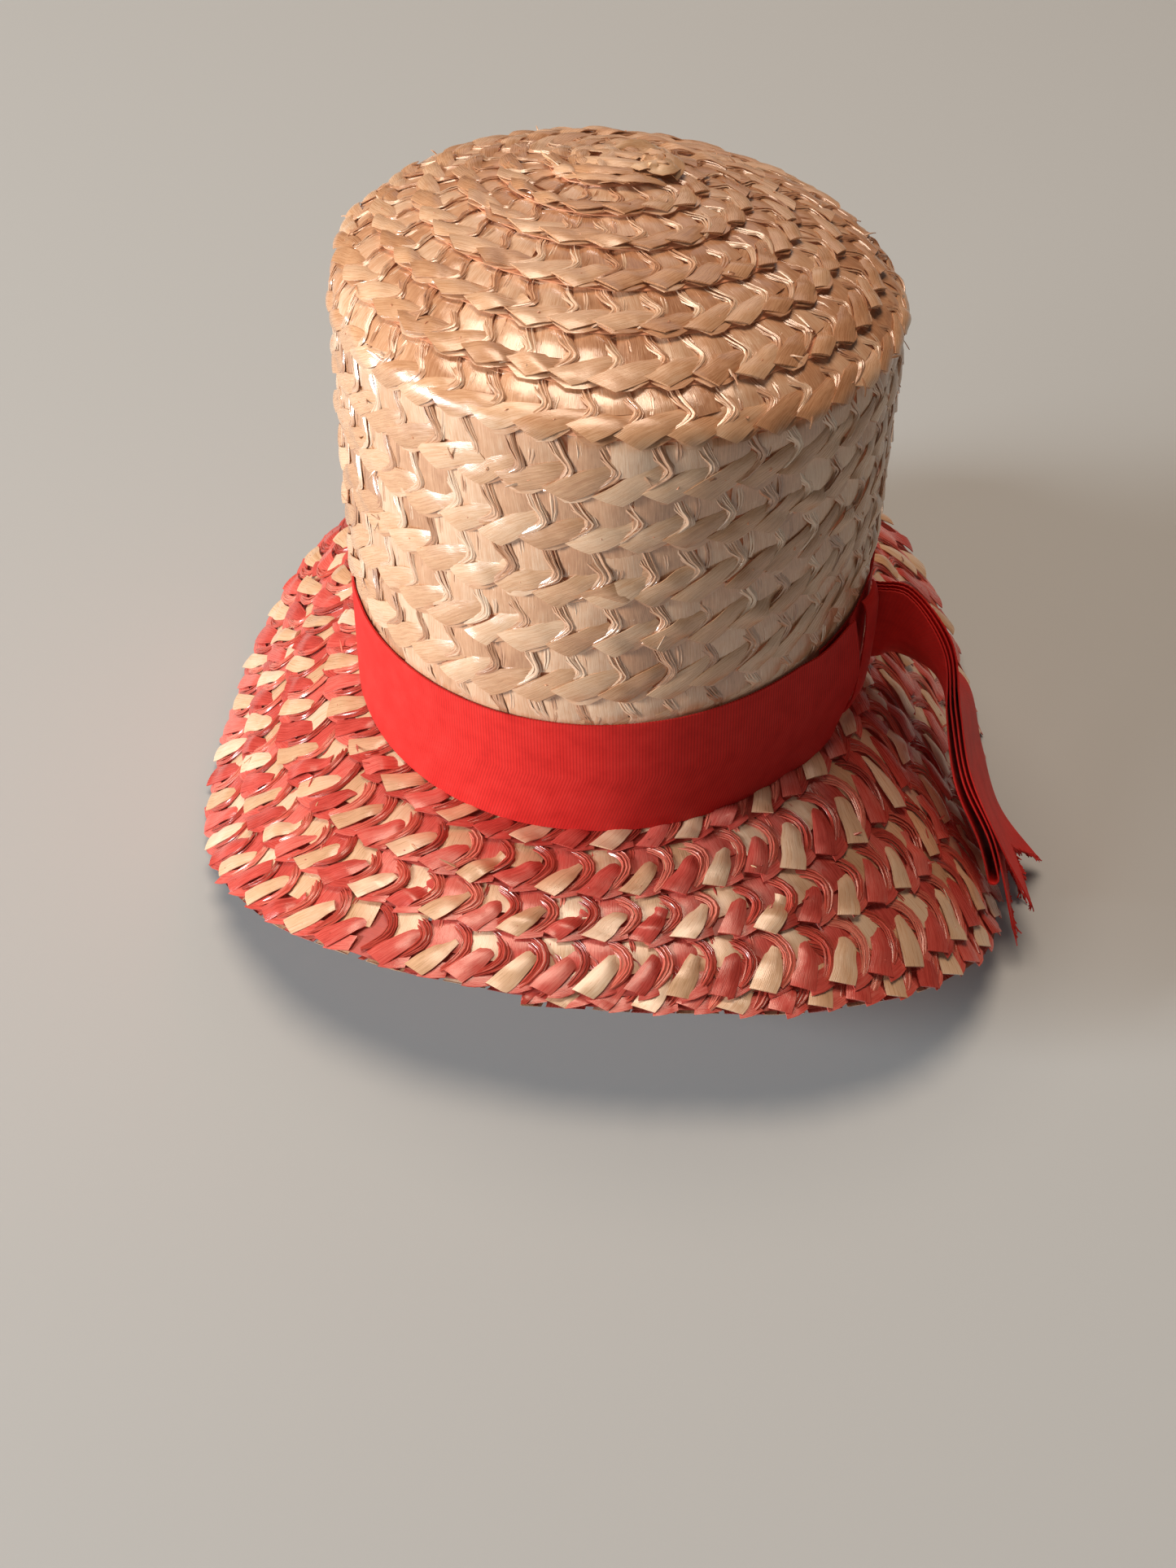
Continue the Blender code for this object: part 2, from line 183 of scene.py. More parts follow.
class Spiral:
    def __init__(self, kind, first, last):
        self.kind = kind
        self.map = crown_map if kind == "crown" else brim_map
        self.rows = np.linspace(first, last, 6000)
        p = self.map(self.rows, 0 * self.rows)
        self.length = np.concatenate([[0], np.cumsum(np.linalg.norm(np.diff(p, axis=0), axis=1))])

    def place(self, start, x, y, h):
        """Moves points that are x mm right of, y mm up the row from and h mm off a unit at `start` metres."""
        here = start - x * MM
        row = np.interp(here, self.length, self.rows)
        wander = 0.018 * np.sin(here * 61.0) + 0.014 * np.sin(here * 137.0 + 1.0)
        across = y / PITCH + wander
        p = self.map(row, across)
        right = self.map(np.interp(here - 0.0015, self.length, self.rows), across) - self.map(
            np.interp(here + 0.0015, self.length, self.rows), across)
        up = self.map(row, across + 0.08) - self.map(row, across - 0.08)
        normal = np.cross(right, up)
        size = np.linalg.norm(normal, axis=-1, keepdims=True)
        normal = normal / np.maximum(size, 1e-12)
        shingle = np.clip(across / covered(self.kind, row), -0.15, 1.0)
        base = EDGE_OFF - (EDGE_OFF - INNER_OFF) * shingle
        off = base + h
        if self.kind == "crown":
            way = table(CROWN_ROWS, row - across)
            off = np.minimum(off, 0.25 + np.maximum(BAND_TOP_WAY - 0.0010 - way, 0) * 450)
            off = off + table(BUTTON_RISE, table(CROWN_ROWS, row - across))
        p = p + normal * (off * MM)[..., None]
        p[..., 2] = np.maximum(p[..., 2], 0.0002)
        return p


EDGE_OFF, INNER_OFF = 0.9, -1.1                # mm off the surface at a row's lower and upper edge

# ---------------------------------------------------------------- mesh building
FLAT = 1e-11                                   # square metres: a smaller face is no face


class Pile:
    """Gathers many small meshes and joins them as one object."""

    def __init__(self):
        self.verts, self.quads, self.tris, self.uv, self.tone = [], [], [], [], []
        self.quad_slot, self.tri_slot, self.count = [], [], 0

    def add(self, verts, quads, tris, uv, tone, slot):
        """verts (copies, n, 3); quads and tris index one copy; uv (n, 2); tone (copies,); slot (copies,)."""
        copies, n = verts.shape[:2]
        start = self.count + np.arange(copies)[:, None, None] * n
        self.verts.append(verts.reshape(-1, 3))
        if len(quads):
            self.quads.append((quads[None] + start).reshape(-1, 4))
            self.quad_slot.append(np.repeat(slot, len(quads)))
        if len(tris):
            self.tris.append((tris[None] + start).reshape(-1, 3))
            self.tri_slot.append(np.repeat(slot, len(tris)))
        self.uv.append(np.tile(uv, (copies, 1)))
        self.tone.append(np.repeat(tone, n))
        self.count += copies * n

    @staticmethod
    def area(verts, tris):
        a, b, c = verts[tris[:, 0]], verts[tris[:, 1]], verts[tris[:, 2]]
        return np.linalg.norm(np.cross(b - a, c - a), axis=1) / 2

    def build(self, name, materials, sharp=40.0):
        verts = np.concatenate(self.verts)
        quads = np.concatenate(self.quads) if self.quads else np.zeros((0, 4), int)
        tris = np.concatenate(self.tris) if self.tris else np.zeros((0, 3), int)
        quad_slot = np.concatenate(self.quad_slot) if self.quad_slot else np.zeros(0, int)
        tri_slot = np.concatenate(self.tri_slot) if self.tri_slot else np.zeros(0, int)
        # strands that run past the crown's foot are flattened to nothing there: those faces are left out
        halves = [quads[:, [0, 1, 2]], quads[:, [0, 2, 3]]]
        real = [self.area(verts, half) > FLAT for half in halves]
        tris = np.concatenate([tris, halves[0][real[0] & ~real[1]], halves[1][real[1] & ~real[0]]])
        tri_slot = np.concatenate([tri_slot, quad_slot[real[0] & ~real[1]], quad_slot[real[1] & ~real[0]]])
        quads, quad_slot = quads[real[0] & real[1]], quad_slot[real[0] & real[1]]
        keep = self.area(verts, tris) > FLAT
        tris, tri_slot = tris[keep], tri_slot[keep]
        corners = np.concatenate([quads.ravel(), tris.ravel()]).astype(np.int32)
        mesh = bpy.data.meshes.new(name)
        mesh.vertices.add(len(verts))
        mesh.vertices.foreach_set("co", verts.astype(np.float32).ravel())
        mesh.loops.add(len(corners))
        mesh.loops.foreach_set("vertex_index", corners)
        sizes = np.concatenate([np.full(len(quads), 4), np.full(len(tris), 3)]).astype(np.int32)
        mesh.polygons.add(len(sizes))
        mesh.polygons.foreach_set("loop_start", np.concatenate([[0], np.cumsum(sizes)[:-1]]).astype(np.int32))
        slots = np.concatenate([quad_slot, tri_slot]).astype(np.int32)
        mesh.polygons.foreach_set("material_index", slots)
        mesh.polygons.foreach_set("use_smooth", np.ones(len(sizes), bool))
        for mat in materials:
            mesh.materials.append(mat)
        layer = mesh.uv_layers.new(name="strand")
        layer.data.foreach_set("uv", np.concatenate(self.uv)[corners].astype(np.float32).ravel())
        tone = mesh.attributes.new("tone", "FLOAT", "POINT")
        tone.data.foreach_set("value", np.concatenate(self.tone).astype(np.float32))
        mesh.update(calc_edges=True)
        mesh.validate()
        mesh.set_sharp_from_angle(angle=math.radians(sharp))
        obj = bpy.data.objects.new(name, mesh)
        bpy.context.scene.collection.objects.link(obj)
        return obj


def sample(points, n):
    """n points on a smooth curve through a few."""
    p = np.array(points, float)
    at = np.linspace(0, len(p) - 1, n)
    i = np.clip(at.astype(int), 0, len(p) - 2)
    f = (at - i)[:, None]
    q = np.vstack([2 * p[0] - p[1], p, 2 * p[-1] - p[-2]])
    p0, p1, p2, p3 = q[i], q[i + 1], q[i + 2], q[i + 3]
    return 0.5 * (2 * p1 + (p2 - p0) * f + (2 * p0 - 5 * p1 + 4 * p2 - p3) * f ** 2
                  + (3 * p1 - p0 - 3 * p2 + p3) * f ** 3)


def leaf(low, high, rise, crown, across, along, thick=0.30, seed=0, wavy=0.09, dent=None, tilt=0.0):
    """Flat strand of straw between two edge curves: a crowned top, a plain underside and closed edges.
    rise is its height at even steps along its length, in mm."""
    r = np.random.default_rng(seed)
    a, b = sample(low, along + 1), sample(high, along + 1)
    h = sample([(x,) for x in rise], along + 1)[:, 0]
    v = np.linspace(0, 1, across + 1)
    wave = r.normal(0, wavy, 4)
    u = np.linspace(0, 1, along + 1)
    top = np.zeros((along + 1, across + 1, 3))
    top[..., :2] = a[:, None] * (1 - v)[None, :, None] + b[:, None] * v[None, :, None]
    top[..., 2] = (h[:, None] + crown * (1 - (2 * v - 1) ** 2)[None]
                   + wave[0] * np.sin(2 * math.pi * u)[:, None] + wave[1] * np.sin(math.pi * u * 3 + 1)[:, None]
                   + wave[2] * ((2 * v - 1) * np.sin(math.pi * u * 2 + 2)[:, None])
                   + (wave[3] + tilt) * (2 * v - 1)[None])
    if dent:
        top[..., 2] -= dent[2] * np.exp(-((top[..., 0] - dent[0]) ** 2 + (top[..., 1] - dent[1]) ** 2) / 1.1)
    n = (along + 1) * (across + 1)
    under = np.concatenate([top[:, 0], top[:, -1]])
    under = under - [0, 0, thick]
    verts = np.concatenate([top.reshape(-1, 3), under])
    i, j = np.meshgrid(np.arange(along), np.arange(across), indexing="ij")
    at = (i * (across + 1) + j).ravel()
    quads = [np.stack([at, at + across + 1, at + across + 2, at + 1], -1)]
    k = np.arange(along)
    low_top, high_top = k * (across + 1), k * (across + 1) + across
    low_under, high_under = n + k, n + along + 1 + k
    quads.append(np.stack([low_under, low_under + 1, low_top + across + 1, low_top], -1))
    quads.append(np.stack([high_top, high_top + across + 1, high_under + 1, high_under], -1))
    quads.append(np.stack([low_under, high_under, high_under + 1, low_under + 1], -1))
    tris = []
    for end, flip in ((0, False), (along, True)):
        tops = end * (across + 1) + np.arange(across + 1)
        lu, hu = n + end, n + along + 1 + end
        for p, q in zip(tops[:-1], tops[1:]):
            tris.append((lu, q, p) if flip else (lu, p, q))
        tris.append((lu, hu, tops[-1]) if flip else (lu, tops[-1], hu))
    quads, tris = np.concatenate(quads), np.array(tris)
    # the grid runs low to high with u to the right; turn it over if the edges run the other way
    e1, e2 = a[-1] - a[0], b[0] - a[0]
    if e1[0] * e2[1] - e1[1] * e2[0] < 0:
        quads, tris = quads[:, ::-1], tris[:, ::-1]
    wide = np.linalg.norm(b - a, axis=1).mean() / 10
    long = np.linalg.norm(np.diff((a + b) / 2, axis=0), axis=1).sum() / 10
    uv = np.stack(np.meshgrid(u * long, v * wide, indexing="ij"), -1).reshape(-1, 2)
    uv = np.concatenate([uv, np.stack([u * long, 0 * u], -1), np.stack([u * long, 0 * u + wide], -1)])
    return verts, quads, tris, uv


def fibre(path, wide, deep, turns, along, seed=0, taper=0.75):
    """Thin twisted strand: a flattened tube of four sides along a path of (x, y, h) in mm."""
    r = np.random.default_rng(seed)
    c = sample(path, along + 1)
    c[1:-1] += r.normal(0, 0.07, (along - 1, 3)) * [1, 1, 0.7]
    t = np.gradient(c, axis=0)
    t /= np.linalg.norm(t, axis=1, keepdims=True)
    side = np.cross(t, [0, 0, 1.0])
    side /= np.linalg.norm(side, axis=1, keepdims=True)
    up = np.cross(side, t)
    u = np.linspace(0, 1, along + 1)
    angle = r.normal(0, 0.22) + turns * 2 * math.pi * u
    size = 1 - (1 - taper) * np.abs(2 * u - 1)
    ring = []
    for k in range(4):
        f = k * math.pi / 2
        dx, dy = wide / 2 * math.cos(f), deep / 2 * math.sin(f)
        ring.append(c + (side * (dx * np.cos(angle) - dy * np.sin(angle))[:, None]
                         + up * (dx * np.sin(angle) * 0.6 + dy * np.cos(angle))[:, None]) * size[:, None])
    verts = np.stack(ring, 1).reshape(-1, 3)
    k = np.arange(along)[:, None] * 4
    j = np.arange(4)[None]
    quads = np.stack([k + j, k + (j + 1) % 4, k + 4 + (j + 1) % 4, k + 4 + j], -1).reshape(-1, 4)
    quads = np.concatenate([quads, [[3, 2, 1, 0]], [[along * 4, along * 4 + 1, along * 4 + 2, along * 4 + 3]]])
    ends = verts[quads[0]]
    outward = np.cross(ends[1] - ends[0], ends[3] - ends[0])
    if outward @ (ends.mean(0) - (c[0] + c[1]) / 2) < 0:
        quads = quads[:, ::-1]
    long = np.linalg.norm(np.diff(c, axis=0), axis=1).sum() / 10
    uv = np.stack(np.broadcast_arrays(u[:, None] * long, np.arange(4)[None] * wide / 20), -1).reshape(-1, 2)
    return verts, quads, np.zeros((0, 3), int), uv


def mirrored(piece):
    """The same piece turned over for the inside of the hat: folds upwards, faces inwards."""
    verts, quads, tris, uv = piece
    verts = verts * [1, -1, -1] + [0, 1.10 * PITCH, -1.6]
    return verts, quads, tris, uv


# ---------------------------------------------------------------- one repeat of the plait, in mm
# x runs right along the row, y runs up across it from the row's lower edge.
# "spread" says how far each point of the hook moves for a fibre that lies 1 mm to the right of its middle.
CROWN_SHAPE = {
    "low": [(0.0, 0.0), (4.2, 2.2), (8.0, 4.2), (11.8, 6.0), (15.6, 7.4)],
    "high": [(-7.4, 3.6), (-3.0, 6.0), (1.6, 8.3), (6.2, 10.3), (11.0, 11.7)],
    "rise": [1.10, 1.12, 0.92, 0.55, 0.05],
    "hole": (1.0, 4.6, 4.8, 6.2),
    "patch": ([(-1.2, 7.4), (-1.5, 14.5), (-2.2, 21.5)], [(11.6, 9.6), (11.0, 15.5), (9.8, 21.5)], [0.0, 0.70, 0.05]),
    "flap": ([(-1.2, 0.0), (3.4, 0.5), (8.4, 3.2)], [(-5.6, 3.2), (1.5, 4.0), (6.0, 6.0)], [0.45, 0.45, 0.0]),
    "hook": [(-5.0, 21.5, 0.0), (-4.0, 17.2, 0.80), (-2.2, 13.7, 1.10), (-0.7, 11.7, 1.20), (0.0, 10.3, 1.18),
             (-0.2, 9.1, 1.10), (-1.1, 7.9, 1.00), (-2.7, 6.5, 0.92), (-4.9, 5.0, 0.80), (-7.6, 3.4, 0.20)],
    "spread": [(1.0, 0.0), (1.0, 0.05), (0.95, -0.10), (0.80, -0.25), (0.64, -0.40), (0.42, -0.50),
               (0.20, -0.48), (0.08, -0.40), (0.05, -0.30), (0.0, -0.2)],
    "post": [(1.4, 21.0, 0.0), (2.4, 17.0, 0.75), (3.0, 13.2, 0.90), (2.6, 9.4, 0.35)],
}
BRIM_SHAPE = {
    "low": [(1.9, 0.4), (4.4, 3.4), (6.6, 6.5), (8.3, 9.5), (9.4, 12.2)],
    "high": [(-4.9, 2.9), (-2.2, 5.9), (0.6, 9.0), (3.4, 12.0), (6.0, 14.4)],
    "rise": [1.02, 1.25, 1.22, 1.00, 0.40],
    "hole": (-1.2, 2.6, 3.6, 5.2),
    "patch": ([(-2.6, 8.4), (-3.6, 15.0), (-3.8, 21.5)], [(9.6, 10.0), (9.4, 16.0), (8.4, 21.5)], [-0.10, 0.70, 0.10]),
    "flap": ([(0.8, 0.5), (4.8, 1.2), (9.0, 2.7)], [(1.6, 5.2), (5.4, 6.6), (8.8, 7.6)], [0.45, 0.50, 0.25]),
    "hook": [(-11.0, 19.6, 0.1), (-8.0, 18.6, 0.85), (-5.0, 17.0, 1.25), (-2.7, 14.8, 1.42), (-1.6, 12.2, 1.42),
             (-2.0, 9.7, 1.28), (-3.6, 7.2, 1.10), (-5.7, 4.9, 0.85), (-8.2, 2.8, 0.35)],
    "spread": [(0.3, 0.7), (0.45, 0.75), (0.65, 0.65), (0.85, 0.40), (0.95, 0.0), (0.85, -0.30), (0.60, -0.42),
               (0.40, -0.38), (0.2, -0.2)],
    "post": [(-0.6, 21.0, 0.0), (0.2, 18.4, 0.75), (0.6, 15.8, 0.80), (0.4, 12.4, 0.30)],
}
VARIANTS = 14


def spread(path, by, d, rise):
    """A path moved sideways by d mm, as far as `by` says at each of its points."""
    p = np.array(path, float)
    p[:, :2] += np.array(by) * d
    p[:, 2] += rise
    return p


def pieces_of_a_unit(shape, sides, size, fine=True):
    """Name of each piece in one repeat, and its variants. sides says where the hook's fibres lie, in mm."""
    out = {"strand": [], "patch": [], "flap": [], "hook": [], "post": []}
    if fine:
        out["stitch"] = []
    x0, x1, y0, y1 = shape["hole"]
    for i in range(VARIANTS):
        r = np.random.default_rng(100 + i)
        lift = r.normal(0, 0.08, 5)
        jog = r.normal(0, 0.18, (5, 2))
        hole = (r.uniform(x0, x1), r.uniform(y0, y1))
        dent = (*hole, r.uniform(0.25, 0.50)) if fine else None
        bow = r.uniform(0.25, 0.60)
        out["strand"].append(leaf(np.array(shape["low"]) + jog, np.array(shape["high"]) + jog[::-1],
                                  np.array(shape["rise"]) + lift, bow, 4 if fine else 3, 11 if fine else 7, seed=i,
                                  wavy=0.16, dent=dent, tilt=0.16))
        left, right, rise = shape["patch"]
        out["patch"].append(leaf(left, right, np.array(rise) + lift[:3], r.uniform(0.35, 0.70), 5 if fine else 3, 4,
                                 seed=20 + i, wavy=0.12))
        out["flap"].append(leaf(*shape["flap"], 0.15, 2, 4, seed=40 + i))
        parts = [fibre(spread(shape["hook"], shape["spread"], d + r.normal(0, 0.14),
                              r.normal(0, 0.12) - 0.07 * d * d), r.uniform(0.75, 1.15) * size,
                       r.uniform(0.42, 0.62), r.uniform(-0.12, 0.12), 9 if fine else 6, seed=60 + i * 7 + n)
                 for n, d in enumerate(sides)]
        out["hook"].append(joined(parts))
        parts = [fibre(spread(shape["post"], [(1, 0), (1, 0), (1, 0), (0.6, 0)], d, 0.0), r.uniform(0.8, 1.2), 0.5,
                       r.uniform(-0.12, 0.12), 4, seed=190 + i * 3 + n)
                 for n, d in enumerate([-0.5, 0.4] if fine else [0.0])]
        out["post"].append(joined(parts))
        if fine:
            turn = r.uniform(-0.6, 1.4)
            dx, dy = 0.55 * math.cos(turn), 0.55 * math.sin(turn)
            h = 1.05 + bow * 0.9 - dent[2] * 0.5
            out["stitch"].append(fibre([(hole[0] - dx, hole[1] - dy, h - 0.25), (hole[0], hole[1], h + 0.1),
                                        (hole[0] + dx, hole[1] + dy, h - 0.25)], 0.34, 0.3, 0.0, 2, seed=i))
    return out


def joined(parts):
    verts, quads, tris, uv, count = [], [], [], [], 0
    for n, (v, q, t, m) in enumerate(parts):
        verts.append(v)
        quads.append(q + count)
        tris.append(t + count)
        uv.append(m + [0.9 * n, 0.37 * n])
        count += len(v)
    return np.concatenate(verts), np.concatenate(quads), np.concatenate(tris), np.concatenate(uv)


def jitter(verts, n, turn, move, lift, grow):
    """n copies of a piece, each turned, moved and sized a little differently."""
    c = verts[:, :2].mean(0)
    angle = rng.normal(0, math.radians(turn), n)[:, None]
    gx, gy = rng.normal(1, grow, (2, n, 1))
    dx, dy = (verts[None, :, 0] - c[0]) * gx, (verts[None, :, 1] - c[1]) * gy
    x = c[0] + dx * np.cos(angle) - dy * np.sin(angle) + rng.normal(0, move, (n, 1))
    y = c[1] + dx * np.sin(angle) + dy * np.cos(angle) + rng.normal(0, move, (n, 1))
    tip = rng.normal(0, 0.020, (2, n, 1))
    h = verts[None, :, 2] + rng.normal(0, lift, (n, 1)) + tip[0] * dx + tip[1] * dy
    return x, y, h


def plait(spiral, first, last, colours, pile, inside=False, pieces=None):
    """Lays every repeat between two rows of the spiral. colours(name, index) gives the slots."""
    a, b = np.interp([first, last], spiral.rows, spiral.length)
    starts = np.arange(a, b, UNIT * MM)
    index = int(a // (UNIT * MM)) + np.arange(len(starts))
    starts = starts + rng.normal(0, 0.25 * MM, len(starts))
    if spiral.kind == "brim":                  # the last turn is a fresh length of plait, out of step with the one above
        last_turn = starts > np.interp(3.05, spiral.rows, spiral.length)
        starts = starts + np.where(last_turn, 0.5 * UNIT * MM, 0)
        index = index + last_turn
    if inside:
        starts = starts + 0.4 * UNIT * MM
    for name, variants in pieces.items():
        if inside and name == "flap":
            continue
        choice = rng.integers(0, len(variants) * (2 if name == "stitch" else 1), len(starts))
        for k, piece in enumerate(variants):
            mine = np.flatnonzero(choice == k)
            if not len(mine):
                continue
            verts, quads, tris, uv = mirrored(piece) if inside else piece
            amount = {"strand": (3.2, 0.34, 0.10, 0.05), "patch": (3.0, 0.35, 0.07, 0.05),
                      "stitch": (12.0, 0.2, 0.05, 0.1)}.get(name, (3.2, 0.30, 0.10, 0.06))
            x, y, h = jitter(verts, len(mine), *amount)
            if inside:
                y = np.maximum(y, 0.8)
            elif name == "flap" and spiral.kind == "brim":
                y = y - 0.7
            p = spiral.place(starts[mine][:, None], x, y, h)
            pile.add(p, quads, tris, uv, rng.random(len(mine)), colours(name, index[mine]))


def core(spiral, first, last, steps, pile, slot):
    """Thin backing sheet of each row, seen only in the gaps between strands."""
    a, b = np.interp([first, last], spiral.rows, spiral.length)
    s = np.linspace(a, b, steps + 1)
    across = np.array([1.7, 4.5, 9.0, 14.0, 18.6])
    n = len(across)
    S, Y = np.meshgrid(s, across, indexing="ij")
    top = spiral.place(S, 0 * Y, Y, -0.55 + 0 * Y)
    low = spiral.place(S, 0 * Y, Y, -0.95 + 0 * Y)
    verts = np.concatenate([top.reshape(-1, 3), low.reshape(-1, 3)])
    i, j = np.meshgrid(np.arange(steps), np.arange(n - 1), indexing="ij")
    at = (i * n + j).ravel()
    m = (steps + 1) * n
    quads = [np.stack([at, at + 1, at + n + 1, at + n], -1), np.stack([at, at + n, at + n + 1, at + 1], -1) + m]
    k = np.arange(steps) * n
    quads.append(np.stack([k, k + n, k + n + m, k + m], -1))
    k = k + n - 1
    quads.append(np.stack([k, k + m, k + n + m, k + n], -1))
    for e, flip in ((0, False), (steps * n, True)):
        j = e + np.arange(n - 1)
        q = np.stack([j, j + m, j + 1 + m, j + 1], -1)
        quads.append(q[:, ::-1] if flip else q)
    quads = np.concatenate(quads)
    uv = np.stack([S.ravel(), Y.ravel() * MM], -1) * 100
    pile.add(verts[None], quads, np.zeros((0, 3), int), np.concatenate([uv, uv]), np.array([0.5]), np.array([slot]))


# ---------------------------------------------------------------- materials
def node(tree, kind, **values):
    n = tree.nodes.new(kind)
    for key, value in values.items():
        if hasattr(n, key):
            setattr(n, key, value)
        else:
            n.inputs[key.replace("_", " ")].default_value = value
    return n


def ramp(tree, source, stops):
    n = tree.nodes.new("ShaderNodeValToRGB")
    elements = n.color_ramp.elements
    while len(elements) < len(stops):
        elements.new(0.5)
    for e, (at, colour) in zip(elements, stops):
        e.position = at
        e.color = (*colour, 1)
    tree.links.new(source, n.inputs["Fac"])
    return n.outputs["Color"]


def math_node(tree, operation, a, b=None, c=None):
    n = tree.nodes.new("ShaderNodeMath")
    n.operation = operation
    for i, x in enumerate((a, b, c)):
        if x is None:
            continue
        if isinstance(x, (int, float)):
            n.inputs[i].default_value = x
        else:
            tree.links.new(x, n.inputs[i])
    return n.outputs[0]


def mix(tree, factor, a, b, blend="MIX"):
    n = tree.nodes.new("ShaderNodeMix")
    n.data_type = "RGBA"
    n.blend_type = blend
    for socket, x in ((n.inputs[0], factor), (n.inputs[6], a), (n.inputs[7], b)):
        if isinstance(x, (int, float)):
            socket.default_value = x
        elif isinstance(x, tuple):
            socket.default_value = (*x, 1)
        else:
            tree.links.new(x, socket)
    return n.outputs[2]


def straw_material(name, dark, plain, pale, veins=0.7, roughness=0.30, sheen=0.0, lit=0.012,
                   gloss=0.70):
    """Split, flattened straw: streaks and fine veins along the strand, each strand its own tone, and a faint painted
    glow in its own colour.
    """
    mat = bpy.data.materials.new(name)
    mat.use_nodes = True
    tree = mat.node_tree
    shader = tree.nodes["Principled BSDF"]
    uv = node(tree, "ShaderNodeUVMap", uv_map="strand")
    tone = node(tree, "ShaderNodeAttribute", attribute_name="tone").outputs["Fac"]
    split = tree.nodes.new("ShaderNodeSeparateXYZ")
    tree.links.new(uv.outputs[0], split.inputs[0])
    u, v = split.outputs[0], split.outputs[1]
    place = tree.nodes.new("ShaderNodeCombineXYZ")
    tree.links.new(math_node(tree, "MULTIPLY", u, 1.6), place.inputs[0])
    tree.links.new(math_node(tree, "MULTIPLY", v, 26.0), place.inputs[1])
    tree.links.new(math_node(tree, "MULTIPLY", tone, 37.0), place.inputs[2])
    streak = node(tree, "ShaderNodeTexNoise", Scale=1.0, Detail=4.0, Roughness=0.6)
    tree.links.new(place.outputs[0], streak.inputs["Vector"])
    cloud_at = tree.nodes.new("ShaderNodeCombineXYZ")
    tree.links.new(math_node(tree, "MULTIPLY", u, 2.2), cloud_at.inputs[0])
    tree.links.new(math_node(tree, "MULTIPLY", v, 3.0), cloud_at.inputs[1])
    tree.links.new(math_node(tree, "MULTIPLY", tone, 91.0), cloud_at.inputs[2])
    cloud = node(tree, "ShaderNodeTexNoise", Scale=1.0, Detail=3.0, Roughness=0.55)
    tree.links.new(cloud_at.outputs[0], cloud.inputs["Vector"])
    vein = math_node(tree, "SINE", math_node(tree, "MULTIPLY_ADD", streak.outputs["Fac"], 2.5,
                                            math_node(tree, "MULTIPLY", v, 2 * math.pi / 0.040)))
    vein = math_node(tree, "MULTIPLY_ADD", vein, 0.5, 0.5)
    blend = math_node(tree, "ADD", math_node(tree, "MULTIPLY", streak.outputs["Fac"], 0.55),
                      math_node(tree, "MULTIPLY", cloud.outputs["Fac"], 0.30))
    blend = math_node(tree, "ADD", blend, math_node(tree, "MULTIPLY", tone, 0.30))
    colour = ramp(tree, blend, [(0.34, dark), (0.56, plain), (0.80, pale)])
    fine = math_node(tree, "POWER", vein, 3.0)
    strong = ramp(tree, cloud.outputs["Fac"], [(0.35, (0.25, 0.25, 0.25)), (0.65, (1, 1, 1))])
    fine = math_node(tree, "MULTIPLY", fine, strong)
    colour = mix(tree, math_node(tree, "MULTIPLY", fine, 0.55 * veins), colour, tuple(0.55 * c for c in dark))
    tree.links.new(colour, shader.inputs["Base Color"])
    shader.inputs["Roughness"].default_value = roughness
    rough = math_node(tree, "MULTIPLY_ADD", streak.outputs["Fac"], 0.28, roughness - 0.14)
    tree.links.new(rough, shader.inputs["Roughness"])
    shader.inputs["IOR"].default_value = 1.75
    shader.inputs["Specular IOR Level"].default_value = gloss
    shader.inputs["Coat Weight"].default_value = 0.30
    shader.inputs["Coat Roughness"].default_value = 0.18
    shader.inputs["Sheen Weight"].default_value = sheen
    tree.links.new(colour, shader.inputs["Emission Color"])        # painted glow: the straw emits a little of its own colour, standing in for light that comes through the thin straw
    shader.inputs["Emission Strength"].default_value = lit
    height = math_node(tree, "ADD", math_node(tree, "MULTIPLY", streak.outputs["Fac"], 0.6),
                       math_node(tree, "MULTIPLY", fine, -0.8 * veins))
    height = math_node(tree, "ADD", height, math_node(tree, "MULTIPLY", cloud.outputs["Fac"], 1.6))
    bump = node(tree, "ShaderNodeBump", Strength=0.8, Distance=0.00009)
    tree.links.new(height, bump.inputs["Height"])
    tree.links.new(bump.outputs[0], shader.inputs["Normal"])
    mat.diffuse_color = (*plain, 1)
    return mat


